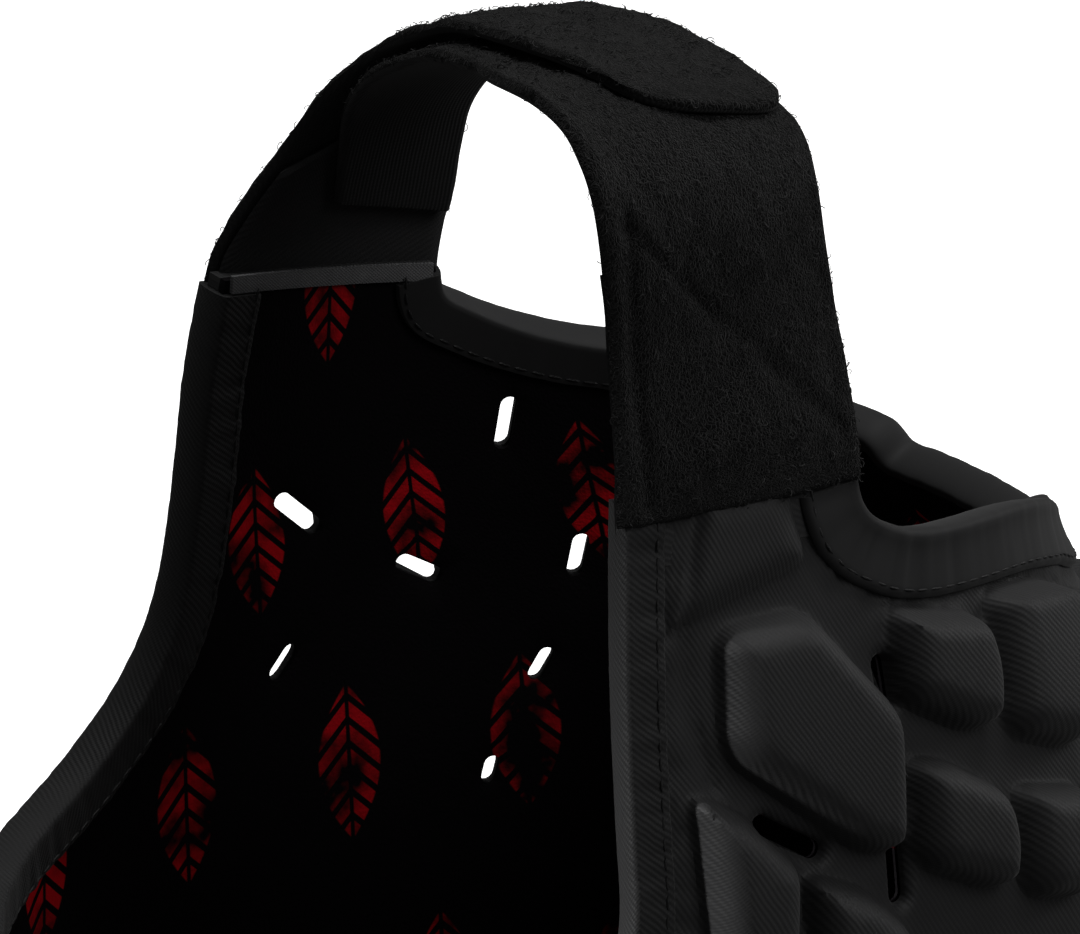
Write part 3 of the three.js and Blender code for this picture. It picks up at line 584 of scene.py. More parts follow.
# Rounded corners of the right panel's upper pads, y and z in millimetres in side view
right_pad_corners = [
    ([(-21.5, 207), (-6, 206.5), (-2.5, 193.8), (-17, 190.5), (-28.5, 187)], 2.5, 0.3),
    ([(-21, 186.5), (-5, 187), (11, 167.5), (9.3, 146), (1, 147), (-22, 166.5)], 4.5, 1),
    ([(11.6, 183.6), (30, 178.2), (32, 169), (30.5, 160), (24, 160.8), (11, 168.6)], 4, 1),
    ([(33.4, 180.4), (51, 177), (54.8, 171), (52, 152), (47, 151.5), (33, 157.8)], 4.5, 1),
    ([(11.3, 159.6), (18, 158.6), (30, 151), (31.6, 143), (30.4, 135.6), (26, 135.4),
      (11.4, 142.8)], 4, 1),
    ([(33.2, 150.4), (50, 145.4), (47, 128), (34, 131.8), (32.4, 138)], 4, 1),
    ([(-28, 162), (-20, 158), (-10.5, 148), (-12, 131), (-15, 123), (-25, 121), (-27.2, 140)], 3, 1),
    ([(-9.8, 146.6), (2, 141.5), (10.5, 132), (9.5, 114), (-6, 111.5), (-8.5, 128)], 4, 1),
    ([(57, 177), (69, 171), (71, 158), (68, 150), (58, 150), (59.5, 164)], 4, 1),
    ([(53, 146), (69, 144), (71, 124), (56, 121)], 5, 1),
]
# y, height, long, wide, turn, taper and rise of the left panel's upper pads
left_pad_rows = [
    (-0.16, 0.915, 0.46, 0.42, 35, 0.1, 0.3), (0.045, 0.81, 0.8, 0.6, 80, 0.1, 1),
    (0.36, 0.82, 0.62, 0.48, 97, 0.1, 1), (0.565, 0.775, 0.54, 0.42, 97, 0.1, 1),
    (-0.245, 0.7, 0.72, 0.42, -78, -0.1, 1), (0.0, 0.677, 0.4, 0.4, 60, 0, 1),
    (0.235, 0.71, 0.5, 0.44, 95, 0.05, 1), (0.52, 0.635, 0.6, 0.48, 95, 0.05, 1),
    (0.14, 0.585, 0.58, 0.5, 0, 0, 1), (-0.17, 0.545, 0.4, 0.36, 30, 0, 1),
]
# Height, first and last degrees, count, long and wide of the lower pads
side_pad_rows = [(0.45, -51, 55, 5, 0.88, 0.68), (0.28, -50, 50, 5, 0.9, 0.7),
                 (0.11, -44, 44, 4, 0.88, 0.68)]
# y, height, long and turn of the vents
right_vent_rows = [(0.098, 0.822, 0.85, 90), (-0.1, 0.722, 1.35, -32), (0.087, 0.674, 1, 90),
                   (0.28, 0.57, 1.2, -10), (-0.2, 0.515, 1, -20), (0.5, 0.52, 1, 10)]
left_vent_rows = [(0.229, 0.829, 1, 85), (-0.134, 0.773, 1.25, -42), (0.107, 0.696, 1, -30),
                  (0.386, 0.69, 0.85, 82), (-0.141, 0.632, 0.7, 53), (0.341, 0.585, 0.65, 61),
                  (0.259, 0.49, 0.5, 77)]
side_vent_rows = [(0.36, -37, 41, 2), (0.2, -15, 15, 2)]


def lower_pads(side):
    return [pad_from_row(row_spot(side, degrees, crown_level + height * cheek_height),
                         (long, wide, 0, 0, 1))
            for height, first, last, count, long, wide in side_pad_rows
            for degrees in np.linspace(first, last, count)]


def side_vents(side, rows):
    upper = [Vent(side_spot(side, y * half_depth, crown_level + height * cheek_height), long, turn)
             for y, height, long, turn in rows]
    lower = [Vent(row_spot(side, degrees, crown_level + height * cheek_height), 1, 0)
             for height, first, last, count in side_vent_rows
             for degrees in np.linspace(first, last, count)]
    return upper + lower


right_pads = [pad_from_corners(1, in_mm(corners), radius / 1000, rise)
              for corners, radius, rise in right_pad_corners] + lower_pads(1)
left_pads = [pad_from_row(side_spot(-1, y * half_depth, crown_level + height * cheek_height), row)
             for y, height, *row in left_pad_rows] + lower_pads(-1)
right_vents = side_vents(1, right_vent_rows)
left_vents = side_vents(-1, left_vent_rows)


def upper_pad(pad):
    return pad.spot.point[2] > 0.12


# Widths of the bindings, which the pads stay clear of
face_binding_width = 0.0076
ear_binding_width = 0.0113
# Creases pressed into the right panel beside its top pad: y and z in millimetres, depth and
# width
right_creases = [
    (in_mm([(-21, 207), (-23.2, 198), (-26, 186), (-26.3, 175), (-23.2, 162)]), 0.0009, 0.0011),
    (in_mm([(-3.6, 203), (-3.2, 198), (-1.6, 192), (1, 187)]), 0.0005, 0.0008),
]


def wander(u, v, waves=9):
    """A smooth uneven wave over two coordinates, about -1 to 1, about 6 units long."""
    dice = np.random.default_rng(5)
    total = 0
    for _ in range(waves):
        turn, phase = dice.uniform(0, 2 * np.pi, 2)
        pace = dice.uniform(0.6, 1.6)
        total = total + np.sin(pace * (u * np.cos(turn) + v * np.sin(turn)) + phase)
    return total / waves ** 0.5


def line_distance(line, y, z):
    start, run = line[:-1], np.diff(line, axis=0)
    away = np.stack([y, z], -1)[:, None, :] - start[None]
    share = np.clip((away * run).sum(-1) / (run ** 2).sum(-1), 0, 1)
    return np.linalg.norm(away - share[..., None] * run, axis=-1).min(1)


def rim_relief(base, height):
    """Pads end at the bindings, beside which the fabric dips and puckers."""
    high = base[:, 2] > 0.1
    side = 1 if base[0, 0] > 0 else -1
    cheek_line, ear_line = cheek_lines[side], ear_lines[side]
    y, z = base[high, 1], base[high, 2]
    from_face = line_distance(cheek_line, y, z) - face_binding_width + fold
    from_ear = line_distance(ear_line, y, z) - ear_binding_width + fold
    clear = np.minimum(from_face, from_ear)
    shaped = height.copy()
    shaped[high] = height[high] * np.clip(clear / pad_fade, 0, 1) ** 0.5
    shaped[high] -= 0.0006 * np.exp(-(np.maximum(clear, -0.001) / 0.0009) ** 2)
    along = np.where(from_face < from_ear, z * 1500, (y - z) * 1100)
    pucker = wander(along, clear * 150) * np.exp(-(clear / 0.0035) ** 2)
    shaped[high] += 0.00022 * pucker
    for line, depth, width in right_creases if side > 0 else ():
        shaped[high] -= depth * np.exp(-(line_distance(line, y, z) / width) ** 2)
    return shaped


strap_width = 0.0445
strap_thickness = 0.0022
strap_height = 0.2625
strap_middle = -0.0137
tab_thickness = 0.0016
clearance = 0.0003
# The loop from the right cheek over the arch to the left one: x share, rise share, lean of
# the front edge, laid from outside the right tab to inside the left one, then right front,
# right back, left front and left back as shares of the strap's width
strap_rows = np.array([
    (1, -0.2, 0, 0, -0.5, 0.5, -0.2, 0.2),
    (1, -0.06, 0, 0, -0.5, 0.505, -0.2, 0.2),
    (1, 0.09, 0.01, 0, -0.49, 0.505, -0.2, 0.2),
    (0.912, 0.48, 0.052, 0, -0.475, 0.478, -0.2, 0.2),
    (0.895, 0.664, 0.085, 0, -0.497, 0.46, -0.2, 0.2),
    (0.865, 0.792, 0.121, 0, -0.506, 0.468, -0.05, 0.25),
    (0.804, 0.898, 0.152, 0, -0.508, 0.49, 0, 0.36),
    (0.713, 0.961, 0.161, 0, -0.495, 0.505, -0.12, 0.46),
    (0.57, 0.989, 0.141, 0, -0.47, 0.505, -0.178, 0.485),
    (0.35, 1, 0.089, 0.12, -0.42, 0.505, -0.178, 0.495),
    (0.085, 0.982, 0.029, 0.35, -0.288, 0.515, -0.14, 0.505),
    (-0.193, 0.945, 0.01, 0.6, -0.232, 0.525, -0.1, 0.51),
    (-0.419, 0.861, -0.009, 0.8, -0.188, 0.525, -0.072, 0.515),
    (-0.604, 0.765, -0.023, 0.95, -0.147, 0.512, -0.052, 0.52),
    (-0.744, 0.649, -0.045, 1, -0.099, 0.505, -0.1, 0.52),
    (-0.833, 0.53, -0.041, 1, -0.06, 0.5, -0.158, 0.525),
    (-0.893, 0.387, -0.014, 1, -0.026, 0.498, -0.24, 0.54),
    (-0.952, 0.209, 0.01, 1, 0, 0.5, -0.37, 0.548),
    (-1, 0.075, 0, 1, 0, 0.49, -0.453, 0.535),
    (-1, -0.06, 0, 1, 0, 0.48, -0.48, 0.52),
    (-1, -0.2, 0, 1, 0, 0.48, -0.48, 0.52),
])
cheek_half = float(sheet_x(np.array(strap_middle), np.array(cheek_level)))
line_z = cheek_level + strap_rows[:, 1] * (strap_height - cheek_level)
line_x = np.where(np.abs(strap_rows[:, 0]) == 1,
                  np.sign(strap_rows[:, 0]) * sheet_x(strap_middle, line_z),
                  strap_rows[:, 0] * cheek_half)
column_names = ("rise", "lean", "laid", "right_front", "right_back", "left_front", "left_back")
loop_columns = dict(zip(column_names, strap_rows.T[1:]), x=line_x, z=line_z)


def loop_at(key, place):
    return through(np.arange(len(strap_rows)), loop_columns[key], place)


loop_places = np.linspace(0, len(strap_rows) - 1, 2000)
loop_run = np.concatenate([[0], np.cumsum(np.hypot(
    np.diff(loop_at("x", loop_places)), np.diff(loop_at("z", loop_places))))])


def loop_point(place, y, offset):
    step = 0.05
    before, after = np.maximum(0, place - step), np.minimum(len(strap_rows) - 1, place + step)
    dx = loop_at("x", after) - loop_at("x", before)
    dz = loop_at("z", after) - loop_at("z", before)
    length = np.hypot(dx, dz)
    sag = cheek_half - sheet_x(y, np.full_like(y, cheek_level))
    out = (offset - sag * (1 - 0.6 * np.clip(loop_at("rise", place), 0, 1))
           + loop_at("lean", place) * (strap_middle - y))
    return np.stack([loop_at("x", place) + dz / length * out, y,
                     loop_at("z", place) - dx / length * out], -1)


def grid_quads(rows, columns):
    """The numbers of a grid's points and the four-cornered faces between them."""
    index = np.arange(rows * columns).reshape(rows, columns)
    corners = (index[:-1, :-1], index[1:, :-1], index[1:, 1:], index[:-1, 1:])
    return index, np.stack(corners, -1).reshape(-1, 4)


def ribbon(ends, middle_offset, thickness, edges, rows, columns, relief=None, ragged=0.0,
           rounding=0.0):
    """A closed band along the loop with rounded edges and ends: its points, faces and cloth
    coordinates, and 0 for its outer faces and 1 for its inner ones.
    ends are the places of the start's front and back and of the end's front and back."""
    share, t = np.meshgrid(np.linspace(0, 1, rows + 1), np.linspace(0, 1, columns + 1),
                           indexing="ij")
    front = ends[0] + (ends[2] - ends[0]) * share
    back = ends[1] + (ends[3] - ends[1]) * share
    place = front + (back - front) * t
    corner = 1 - (1 - np.abs(2 * t - 1) ** 4) ** 0.25
    place = place + rounding * corner * share ** 6
    y = edges[0](place) + (edges[1](place) - edges[0](place)) * t
    if ragged:
        fray = ragged * (wander(y * 900, 3 + 0 * y) + 0.6 * wander(y * 2600, 7 + 0 * y))
        place = np.clip(place + fray * (1 - share) ** 12, 0, len(strap_rows) - 1)
    run = np.interp(place, loop_places, loop_run)
    width = np.abs(edges[1](place) - edges[0](place))
    length = abs(np.diff(np.interp((ends[0], ends[2]), loop_places, loop_run))[0])
    from_edge = np.minimum(np.minimum(t, 1 - t) * width, np.minimum(share, 1 - share) * length)
    inwards = np.clip(from_edge / (thickness * 0.6), 0, 1)
    round_edge = np.sqrt(np.clip(1 - (1 - inwards) ** 2, 0, 1))
    extra = relief(run, y) if relief else 0
    flat = (place.ravel(), y.ravel())
    middle = middle_offset(place)
    outer = loop_point(*flat, (middle + round_edge * (thickness / 2 + extra)).ravel())
    inner = loop_point(*flat, (middle - round_edge * thickness / 2).ravel())
    count = len(outer)
    quads = grid_quads(*place.shape)[1]
    border = np.zeros(place.shape, bool)
    border[[0, -1]] = True
    border[:, [0, -1]] = True
    lower = np.where(border.ravel(), np.arange(count), np.arange(count) + count)
    below = lower[quads][:, ::-1]
    if ends[0] > ends[2]:
        quads, below = quads[:, ::-1], below[:, ::-1]
    cloth = np.stack([run.ravel(), y.ravel(), from_edge.ravel()], -1) * 1000
    points = np.concatenate([outer, inner])
    used = np.unique(np.concatenate([quads, below]))
    renumber = np.zeros(len(points), int)
    renumber[used] = np.arange(len(used))
    return (points[used], renumber[np.concatenate([quads, below])],
            np.concatenate([cloth, cloth])[used], np.repeat([0, 1], len(quads)))


def strap_edge(key):
    return lambda place: strap_middle + loop_at(key, place) * strap_width


right_patch, left_patch = SidePatch(1), SidePatch(-1)
right_cut = patch_mesh(right_patch, right_patch.outline(seam_gap / 2), right_vents, right_pads,
                       0, -sheet_thickness, pad_spacing, upper_pad, rim_relief)
left_cut = patch_mesh(left_patch, left_patch.outline(seam_gap / 2), left_vents, left_pads,
                      0, -sheet_thickness, pad_spacing, relief=rim_relief)
tab_middle = -0.00095 # from the outer face to the middle of the tabs' thickness


def tab_edge(key, inset):
    return lambda place: strap_edge(key)(place) + inset


right_tab = ribbon((0, 0, 3.9, 3.7), lambda place: tab_middle, tab_thickness,
                   (tab_edge("right_front", 0.001), tab_edge("right_back", -0.001)),
                   rows=50, columns=20)
left_tab = ribbon((20, 20, 16.2, 14.4), lambda place: tab_middle, tab_thickness,
                  (tab_edge("left_front", 0.001), tab_edge("left_back", -0.0004)),
                  rows=60, columns=24)
right_side_panel = made_mesh("right_side_panel_foam", [right_cut, right_tab[:3]])
left_side_panel = made_mesh("left_side_panel_foam", [left_cut, left_tab[:3]])


class Nodes:
    """A node tree, built a node at a time."""

    def __init__(self, tree):
        self.tree = tree

    def set(self, socket, value):
        if isinstance(value, bpy.types.NodeSocket):
            self.tree.links.new(value, socket)
        else:
            socket.default_value = value

    def node(self, kind, values=(), **settings):
        made = self.tree.nodes.new(kind)
        for key, value in settings.items():
            setattr(made, key, value)
        for socket, value in dict(values).items():
            self.set(made.inputs[socket], value)
        return made


class Shader(Nodes):
    """The nodes of a fabric, which lie on its own cloth coordinates in millimetres."""

    def __init__(self, name):
        self.material = bpy.data.materials.new(name)
        self.material.use_nodes = True
        super().__init__(self.material.node_tree)
        self.surface = self.tree.nodes["Principled BSDF"]

    def math(self, operation, *values):
        return self.node("ShaderNodeMath", dict(enumerate(values)), operation=operation).outputs[0]

    def mixed(self, *terms):
        """The sum of values, each with its weight."""
        total, *others = [self.math("MULTIPLY", value, weight) for value, weight in terms]
        for other in others:
            total = self.math("ADD", total, other)
        return total

    def wave(self, value, pitch):
        return self.math("SINE", self.math("MULTIPLY", value, 2 * math.pi / pitch))

    def cloth(self):
        return self.node("ShaderNodeAttribute", attribute_name="cloth").outputs["Vector"]

    def cloth_axes(self):
        return self.node("ShaderNodeSeparateXYZ", {0: self.cloth()}).outputs

    def noise(self, vector, scale, detail=2.0, roughness=0.5):
        return self.node("ShaderNodeTexNoise", {"Vector": vector, "Scale": scale, "Detail": detail,
                                                "Roughness": roughness}).outputs["Fac"]

    def ramp(self, value, low, high, out_low=0.0, out_high=1.0):
        made = self.node("ShaderNodeMapRange", {"Value": value, "From Min": low, "From Max": high,
                                                "To Min": out_low, "To Max": out_high})
        return made.outputs[0]

    def colour(self, value, low, high):
        return self.node("ShaderNodeMix", {"Factor": value, 6: (*low, 1), 7: (*high, 1)},
                         data_type="RGBA").outputs[2]

    def finish(self, colour, roughness, height=None, depth=0.0001, sheen=0.0, specular=0.3):
        looks = {"Base Color": colour, "Roughness": roughness, "Sheen Weight": sheen,
                 "Sheen Roughness": 0.5, "Specular IOR Level": specular}
        if height is not None:
            looks["Normal"] = self.node("ShaderNodeBump", {
                "Height": height, "Strength": 1.0, "Distance": depth}).outputs[0]
        for label, value in looks.items():
            self.set(self.surface.inputs[label], value)
        return self.material


def twill(shader, pitch, degrees, thread=0.45, waver=0.25):
    """Diagonal ribs crossed by single threads, from 0 to 1."""
    x, y = shader.cloth_axes()[:2]
    turn = math.radians(degrees)
    across = shader.mixed((x, math.cos(turn)), (y, math.sin(turn)))
    along = shader.mixed((y, math.cos(turn)), (x, -math.sin(turn)))
    drifting = shader.mixed((across, 1), (shader.noise(shader.cloth(), 0.12), waver * 4))
    both = shader.mixed((shader.wave(drifting, pitch), 1), (shader.wave(along, thread), 0.35))
    return shader.ramp(both, -1.35, 1.35)


def shell_fabric():
    shader = Shader("black_twill")
    rib = twill(shader, 0.95, 28)
    cloud = shader.noise(shader.cloth(), 0.05, 4)
    fuzz = shader.noise(shader.cloth(), 3.0, 2)
    # Painted shade: the ribs' valleys are painted darker and their crests lighter, following the
    # bump. The cloud is the cloth's own uneven tone.
    colour = shader.colour(shader.mixed((rib, 0.6), (cloud, 0.4)),
                           (0.01, 0.01, 0.0105), (0.017, 0.017, 0.0175))
    return shader.finish(colour, 0.62, shader.mixed((rib, 1), (fuzz, 0.3)), 0.00006,
                         sheen=0.06, specular=0.25)


black_twill = shell_fabric()
for piece, node in ((right_side_panel, "right_side_panel"), (left_side_panel, "left_side_panel")):
    piece.data.materials.append(black_twill)
    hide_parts(node)
    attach(piece, "root")


# Centre panel

# The strip of the same foam and twill from the forehead over the crown to the nape. It is
# sewn to the side panels edge to edge, and the pads that it rests on are pressed flat.

# Degrees over the crown, count, spread, long and wide of the pads, and degrees and x of the
# vents, with the spread and x as shares of half_breadth
centre_pad_rows = [(-75, 2, 0.54, 0.7, 0.88), (-55, 3, 0.36, 0.76, 0.62), (-35, 3, 0.37, 0.84, 0.64),
                   (-13, 3, 0.38, 0.92, 0.66), (12, 3, 0.38, 0.92, 0.66), (35, 3, 0.37, 0.84, 0.64),
                   (56, 2, 0.52, 0.76, 0.82), (76, 2, 0.46, 0.74, 0.7), (95, 2, 0.38, 0.66, 0.56),
                   (112, 2, 0.32, 0.5, 0.42)]
centre_vent_rows = [(-65, 0), (-24, 0.19), (-24, -0.19), (46, 0), (86, 0)]


class CentrePatch:
    """The flat map of the centre panel: x and run over the crown from front to back."""

    hub_level = crown_level + half_depth

    def flat(self, points):
        angle = np.arctan2(points[:, 1], self.hub_level - points[:, 2])
        return np.stack([points[:, 0], angle * half_depth], -1)

    def solid(self, flat):
        angle = flat[:, 1] / half_depth
        starts = np.stack([flat[:, 0], 0 * angle, 0 * angle + self.hub_level], -1)
        directions = np.stack([0 * angle, np.sin(angle), -np.cos(angle)], -1)
        return cast(starts, directions, past_the_shell)

    def edge_angle(self, level, behind):
        angle = np.linspace(0, math.radians(130 if behind else -130), 600)
        line = self.solid(np.stack([0 * angle, angle * half_depth], -1))
        return float(np.interp(level, line[:, 2], angle))

    def outline(self, gap):
        front = self.edge_angle(forehead_level, False)
        back = self.edge_angle(nape_level, True)
        angle = np.linspace(front, back, 260)
        right = np.full(len(angle), 0.045)
        for _ in range(4):
            line = self.solid(np.stack([right, angle * half_depth], -1))
            right = np.where(angle < 0, seam_half(line[:, 2], False),
                             seam_half(line[:, 2], True)) - gap
        across = np.linspace(-1, 1, 40)[1:-1]
        side = np.stack([right, angle * half_depth], -1)
        ends = [self.rim(level, half, across[::turn], behind)
                for level, half, turn, behind in ((nape_level, right[-1], -1, True),
                                                  (forehead_level, right[0], 1, False))]
        flat = np.concatenate([side, ends[0], side[::-1] * (-1, 1), ends[1]])
        return self.solid(flat)

    def rim(self, level, half, across, behind):
        x = across * half
        z = np.full(len(x), level)
        return self.flat(np.stack([x, shell_y(x, z, behind), z], -1))


def centre_relief(base, height):
    """Pads end at the bindings along the forehead and the nape."""
    from_rim = np.where(base[:, 1] < 0, forehead_level - face_binding_width,
                        nape_level - ear_binding_width) - base[:, 2]
    return height * np.clip(from_rim / pad_fade, 0, 1) ** 0.5


centre_patch = CentrePatch()
centre_pads = [pad_from_row(centre_spot((k - (count - 1) / 2) * spread, degrees),
                            (wide, long, 0, 0, 1))
               for degrees, count, spread, long, wide in centre_pad_rows for k in range(count)]
nape_point = cast(np.array([[-0.1 * half_breadth, 0, nape_level - 0.0034]]),
                  np.array([[0.0, 1.0, 0.0]]), past_the_shell)[0]
centre_vents = [Vent(centre_spot(across, degrees), 1, 0) for degrees, across in centre_vent_rows]
centre_vents.append(Vent(Spot(nape_point, (0, 0, 1)), 0.85, 0))
centre_cut = patch_mesh(centre_patch, centre_patch.outline(seam_gap), centre_vents, centre_pads,
                        0, -sheet_thickness, pad_spacing, relief=centre_relief)
centre_panel = made_mesh("centre_panel_foam", [centre_cut])
centre_panel.data.materials.append(black_twill)
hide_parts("centre_panel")
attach(centre_panel, "root")


# Lining

# A thin black knit inside all three panels, with the vents punched through it and a dark
# red generic print of feathered lozenges.

lining_thickness = 0.001
lining_top = -(sheet_thickness + clearance)
lining_bottom = lining_top - lining_thickness
lining_cuts = [patch_mesh(patch, patch.outline(0), vents, [], lining_top, lining_bottom, 0.002)
               for patch, vents in ((right_patch, right_vents), (left_patch, left_vents),
                                    (centre_patch, centre_vents))]
lining = made_mesh("lining_knit", lining_cuts)


def lining_fabric():
    shader = Shader("black_lining_with_red_print")
    knit = shader.node("ShaderNodeTexVoronoi", {"Vector": shader.cloth(), "Scale": 1.6})
    x, y = shader.cloth_axes()[:2]
    cell_wide, cell_high = 38.0, 47.0
    half_wide, half_high = 7.0, 15.0

    def from_middle(value, cell):
        share = shader.math("FRACT", shader.math("DIVIDE", value, cell))
        return shader.math("SUBTRACT", shader.math("MULTIPLY", share, cell), cell / 2)

    row = shader.math("FLOOR", shader.math("DIVIDE", y, cell_high))
    odd = shader.math("MODULO", row, 2.0)
    v = from_middle(y, cell_high)
    u = shader.math("ABSOLUTE", from_middle(shader.mixed((x, 1), (odd, cell_wide / 2)), cell_wide))
    high = shader.math("DIVIDE", shader.math("ABSOLUTE", v), half_high)
    away = shader.math("ADD", shader.math("DIVIDE", u, half_wide), shader.math("POWER", high, 2.0))
    lozenge = shader.ramp(away, 1.02, 0.96)
    feather = shader.ramp(shader.wave(shader.mixed((v, 1), (u, 0.9)), 4.6), -0.55, -0.35)
    spine = shader.ramp(u, 0.35, 0.6)
    wear = shader.ramp(shader.noise(shader.cloth(), 0.09, 3), 0.4, 0.62)
    print_mask = shader.math("MULTIPLY", shader.math("MULTIPLY", lozenge, feather),
                             shader.math("MULTIPLY", spine, wear))
    colour = shader.colour(print_mask, (0.0026, 0.002, 0.0027), (0.5, 0.003, 0.009))
    return shader.finish(colour, 0.8, knit.outputs["Distance"], 0.0001, specular=0.08)


lining.data.materials.append(lining_fabric())
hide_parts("lining")
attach(lining, "root")


# Face binding

# A tape of the same twill folded round the edge of the foam along both cheeks and the
# forehead. It is sewn through with one row of lockstitch, which pulls it into small puckers.

binding_thickness = 0.0011
inner_face = lining_bottom - clearance - binding_thickness
fold_top = 0.0018 # how high the fold over the rim stands above the outer face
stitch_pitch = 0.0031
stitch_length = 0.0026
thread_width = 0.0005


def rim_across(level_at, half, behind, count=90):
    """The rim over the centre panel at a level given for each x."""
    x = np.linspace(-half, half, count)
    z = level_at(x)
    return np.stack([x, shell_y(x, z, behind), z], -1)


def rim_directions(line):
    """The outer face's normals along a rim and the directions down from the rim."""
    normals = normals_at(line)
    down = unit(np.cross(normals, unit(np.gradient(line, axis=0))))
    return normals, down * -np.sign(down[len(line) // 2, 2])


def wrapped(line, widths, relief, spacing=0.0009):
    """A tape folded over a rim: down the outside by widths[0], down the inside by widths[1].
    relief(along, depth) is the height added to it, in metres of the rim's length and of the
    way down from the rim, which is negative on the inside."""
    length = np.linalg.norm(np.diff(line, axis=0), axis=1).sum()
    line = resampled(line, int(length / spacing))
    for _ in range(6):
        line[1:-1] = (line[:-2] + 2 * line[1:-1] + line[2:]) / 4
    normals, down = rim_directions(line)
    along = np.concatenate([[0], np.cumsum(np.linalg.norm(np.diff(line, axis=0), axis=1))])
    inner_width = np.broadcast_to(widths[1](line) if callable(widths[1]) else widths[1], len(line))
    outside = np.array([1, 0.97, 0.9, 0.8, 0.66, 0.52, 0.38, 0.26, 0.15, 0.06]) * widths[0]
    inside = np.array([0.08, 0.25, 0.45, 0.62, 0.78, 0.9, 0.97, 1])[:, None] * inner_width
    lift = np.array([0.1, 0.75, 1, 1, 1, 1, 1, 1.05, 1.15, 1.3]) * (clearance + binding_thickness)
    turns = np.radians(np.linspace(12, 168, 11))
    middle, thick = (fold_top + inner_face) / 2, (fold_top - inner_face) / 2
    rings = []
    depths = []

    def on_face(depth, height):
        starts = line + down * np.reshape(depth, (-1, 1)) - normals * pad_length
        base = cast(starts, normals, 2 * pad_length)
        return base + normals_at(base) * np.reshape(height, (-1, 1))

    for depth, height in zip(outside, lift):
        rings.append(on_face(depth, height + relief(along, depth)))
        depths.append(depth)
    for turn in turns:
        swell = 1 + relief(along, 0 * turn) / thick
        rings.append(line + normals * (middle + thick * np.cos(turn) * swell)[:, None]
                     - down * (fold * np.sin(turn) * swell)[:, None])
        depths.append(-0.0001)
    for depth, drop in zip(inside, (0, 0, 0, 0, 0, 0, -0.0002, -0.0011)):
        rings.append(on_face(depth, inner_face - drop - relief(along, -depth)))
        depths.append(-depth.mean())
    for depth, height in ((inner_width * 0.9, lining_bottom), (0.001, lining_bottom),
                          (0.001, 0.0001), (widths[0] * 0.95, 0.0001)):
        rings.append(on_face(depth, np.full(len(line), height)))
        depths.append(np.mean(depth))
    points = np.stack(rings, 1)
    stations, size = points.shape[:2]
    index = np.arange(stations * size).reshape(stations, size)
    a, b = index[:-1], index[1:]
    c, d = np.roll(b, -1, 1), np.roll(a, -1, 1)
    faces = np.stack([a, b, c, d], -1).reshape(-1, 4).tolist()
    faces += [index[0].tolist(), index[-1][::-1].tolist()]
    middle_row = stations // 2
    outward = np.cross(points[middle_row + 1, 5] - points[middle_row, 5],
                       points[middle_row, 6] - points[middle_row, 5]) @ normals[middle_row] > 0
    if not outward:
        faces = [face[::-1] for face in faces]
    run = np.linalg.norm(np.diff(points, axis=1), axis=2).mean(0)
    across = np.concatenate([[0], np.cumsum(run)])
    cloth = np.stack(np.broadcast_arrays(along[:, None], across, np.array(depths)), -1) * 1000
    return points.reshape(-1, 3), faces, cloth.reshape(-1, 3)


def seam_run(line, depth, height):
    """A line that follows a rim at a depth down from it, and the face's normals along it."""
    normals, down = rim_directions(line)
    base = cast(line + down * depth - normals * pad_length, normals, 2 * pad_length)
    facing = normals_at(base)
    return base + facing * height, facing * (1 if height > -0.001 else -1)


class Tree(Nodes):
    """A Geometry Nodes tree with named inputs."""

    def __init__(self, name, inputs):
        super().__init__(bpy.data.node_groups.new(name, "GeometryNodeTree"))
        sockets = [("Geometry", "Geometry", "INPUT")]
        sockets += [(label, kind, "INPUT") for label, kind in inputs.items()]
        sockets.append(("Geometry", "Geometry", "OUTPUT"))
        for label, kind, way in sockets:
            self.tree.interface.new_socket(label, in_out=way, socket_type="NodeSocket" + kind)
        self.given = self.node("NodeGroupInput").outputs

    def finish(self, instances):
        """The piece with the instances made real and given their material."""
        plain = self.node("GeometryNodeRealizeInstances", {0: instances})
        thread = self.node("GeometryNodeSetMaterial", {"Geometry": plain.outputs[0],
                                                       "Material": self.given["Material"]})
        both = self.node("GeometryNodeJoinGeometry")
        for geometry in (thread.outputs[0], self.given["Geometry"]):
            self.set(both.inputs[0], geometry)
        self.node("NodeGroupOutput", {0: both.outputs[0]})
        return self.tree


def grown(piece, tree, **values):
    """Runs a tree on a piece once and keeps the plain mesh that it gives."""
    modifier = piece.modifiers.new(tree.name, "NODES")
    modifier.node_group = tree
    for item in tree.interface.items_tree:
        if item.in_out == "INPUT" and item.name in values:
            modifier[item.identifier] = values[item.name]
    made = bpy.data.meshes.new_from_object(
        piece.evaluated_get(bpy.context.evaluated_depsgraph_get()))
    piece.modifiers.remove(modifier)
    piece.data = made


